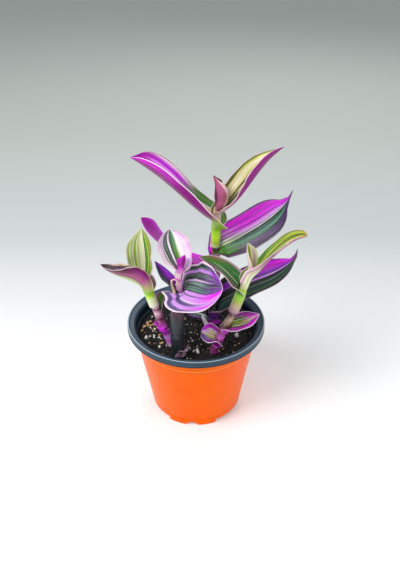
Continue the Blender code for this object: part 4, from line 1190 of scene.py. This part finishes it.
def add_floor():
    """A sheet of pale paper with painted light: nearly white towards the camera and greyer away from it,
    and glowing a little towards the camera.
    """
    corners = [(-1, -1), (1, -1), (1, 1), (-1, 1)]
    data = bpy.data.meshes.new("floor")
    data.from_pydata([(x * FLOOR_REACH, y * FLOOR_REACH, 0) for x, y in corners], [],
                     [(0, 1, 2, 3)])
    paint = Painter("floor_paper")
    place = paint.place()
    depth = paint.add(paint.split(place)[1], paint.noise(place, 3.0, 3), 0.04)
    # painted shade: the paper's colour greys away from the camera
    painted_falloff = paint.ramp(paint.step(depth, -0.1, 0.7),
                       color_list("0 f2f4f4 0.3 dadddf 0.5 c8cdcd 1 bec4bf"))
    # the emission is painted light: the floor glows a little towards the camera
    data.materials.append(paint.finish(
        painted_falloff, 0.8, Emission_Color="ffffff",
        Emission_Strength=paint.step(depth, 0.3, -0.05, 0.0, 0.16)))
    floor = add_object("floor", data)


def add_light(name, place, size, power):
    data = bpy.data.lights.new(name, "AREA")
    data.shape = "DISK"
    data.size = size
    data.energy = power
    lamp = add_object(name, data)
    lamp.location = place
    aim = Vector(LIGHT_AIM) - Vector(place)
    lamp.rotation_euler = aim.to_track_quat("-Z", "Y").to_euler()


def add_stage():
    scene = bpy.context.scene
    scene.view_settings.view_transform = "Standard"
    add_floor()
    for name, settings in LIGHTS.items():
        add_light(name, *settings)
    scene.world = bpy.data.worlds.new("studio")
    scene.world.use_nodes = True
    background = scene.world.node_tree.nodes["Background"]
    background.inputs["Color"].default_value = SKY
    background.inputs["Strength"].default_value = SKY_STRENGTH
    data = bpy.data.cameras.new("camera")
    data.lens = LENS
    data.sensor_width = SENSOR
    data.clip_start, data.clip_end = 0.01, 50
    scene.camera = add_object("camera", data)
    scene.camera.location = CAMERA_PLACE
    scene.camera.rotation_euler = (math.radians(90 - CAMERA_TILT), 0, 0)


# ---- building ----
def add_plant():
    for count, (name, leaf) in enumerate(LEAVES.items()):
        seed = count * SEED_STEP
        add_fine_leaf(name, leaf, leaf_material(name + "_top", UPPER_FACES[name], seed),
                      leaf_material(name + "_under", UNDERSIDES[name], seed + UNDER_SEED))
    for name, stem in STEMS.items():
        add_fine_stem(name, stem, stem_material(name))
    shoot = smooth_line(SHOOT_POINTS, 10)
    radii = np.interp(np.linspace(0, 1, len(shoot)), SHOOT_SHARES, SHOOT_RADII)
    add_fine_tube("white_shoot", shoot, radii, bit_material(
        "shoot_skin", "f3eef0", "fbf6f0", "e0c0d0", 0.45), 20)
    stalk = smooth_line(STALK_POINTS, 8)
    radii = np.interp(np.linspace(0, 1, len(stalk)), np.linspace(0, 1, len(STALK_RADII)),
                      STALK_RADII)
    radii = radii * (1 + 0.12 * np.sin(np.arange(len(stalk)) * 1.7))
    add_fine_tube("dry_stalk", stalk, radii, bit_material(
        "stalk_skin", "c9a97e", "e2cda6", "6b5138", 0.75), 12)


def add_pot():
    add_lathe("pot_shell", shell_profile, plastic(
        "orange_plastic", "fa6000", "fc7408", "ff9a40", 0.12, 0.0, SHELL_SHADE_AND_TONE_BANDS))
    add_lathe("pot_liner", liner_profile, plastic(
        "black_plastic", "081a24", "2c4a5e", "ffffff", 0.3, 1.0, LINER_HIGHLIGHT_BANDS))


def add_ground():
    draw = random.Random(BITS_SEED)
    add_fine_soil(soil_material())
    chips = LARGE_CHIPS + scatter(draw, 18, (0.6, 1.1), (-32, 0), (7, 10), (0.1, 0.7))
    chips += scatter(draw, 46, (0.4, 0.9))
    add_bits("bark_bits", chips, 0.45,
             bit_material("bark", "a07444", "f0ca94", "5a3c22", 0.8), draw)
    grains = LARGE_GRAINS + scatter(draw, 12, (0.6, 1.2), (-31, -4), (6, 9), (0.2, 0.8))
    grains += scatter(draw, 30, (0.35, 0.8), (0, -16), (9, 8), (0.2, 0.8))
    grains += scatter(draw, 60, (0.3, 0.75))
    add_bits("perlite_bits", grains, 0.8,
             bit_material("perlite", "e6e2d8", "f6f3ea", "a89a86", 0.7), draw)
    crumbs = scatter(draw, 700, (0.4, 1.3))
    add_bits("soil_crumbs", crumbs, 0.8,
             bit_material("crumb", "0e0c0b", "261f1a", "060505", 0.9), draw)


add_stage()
add_pot()
add_ground()
add_plant()
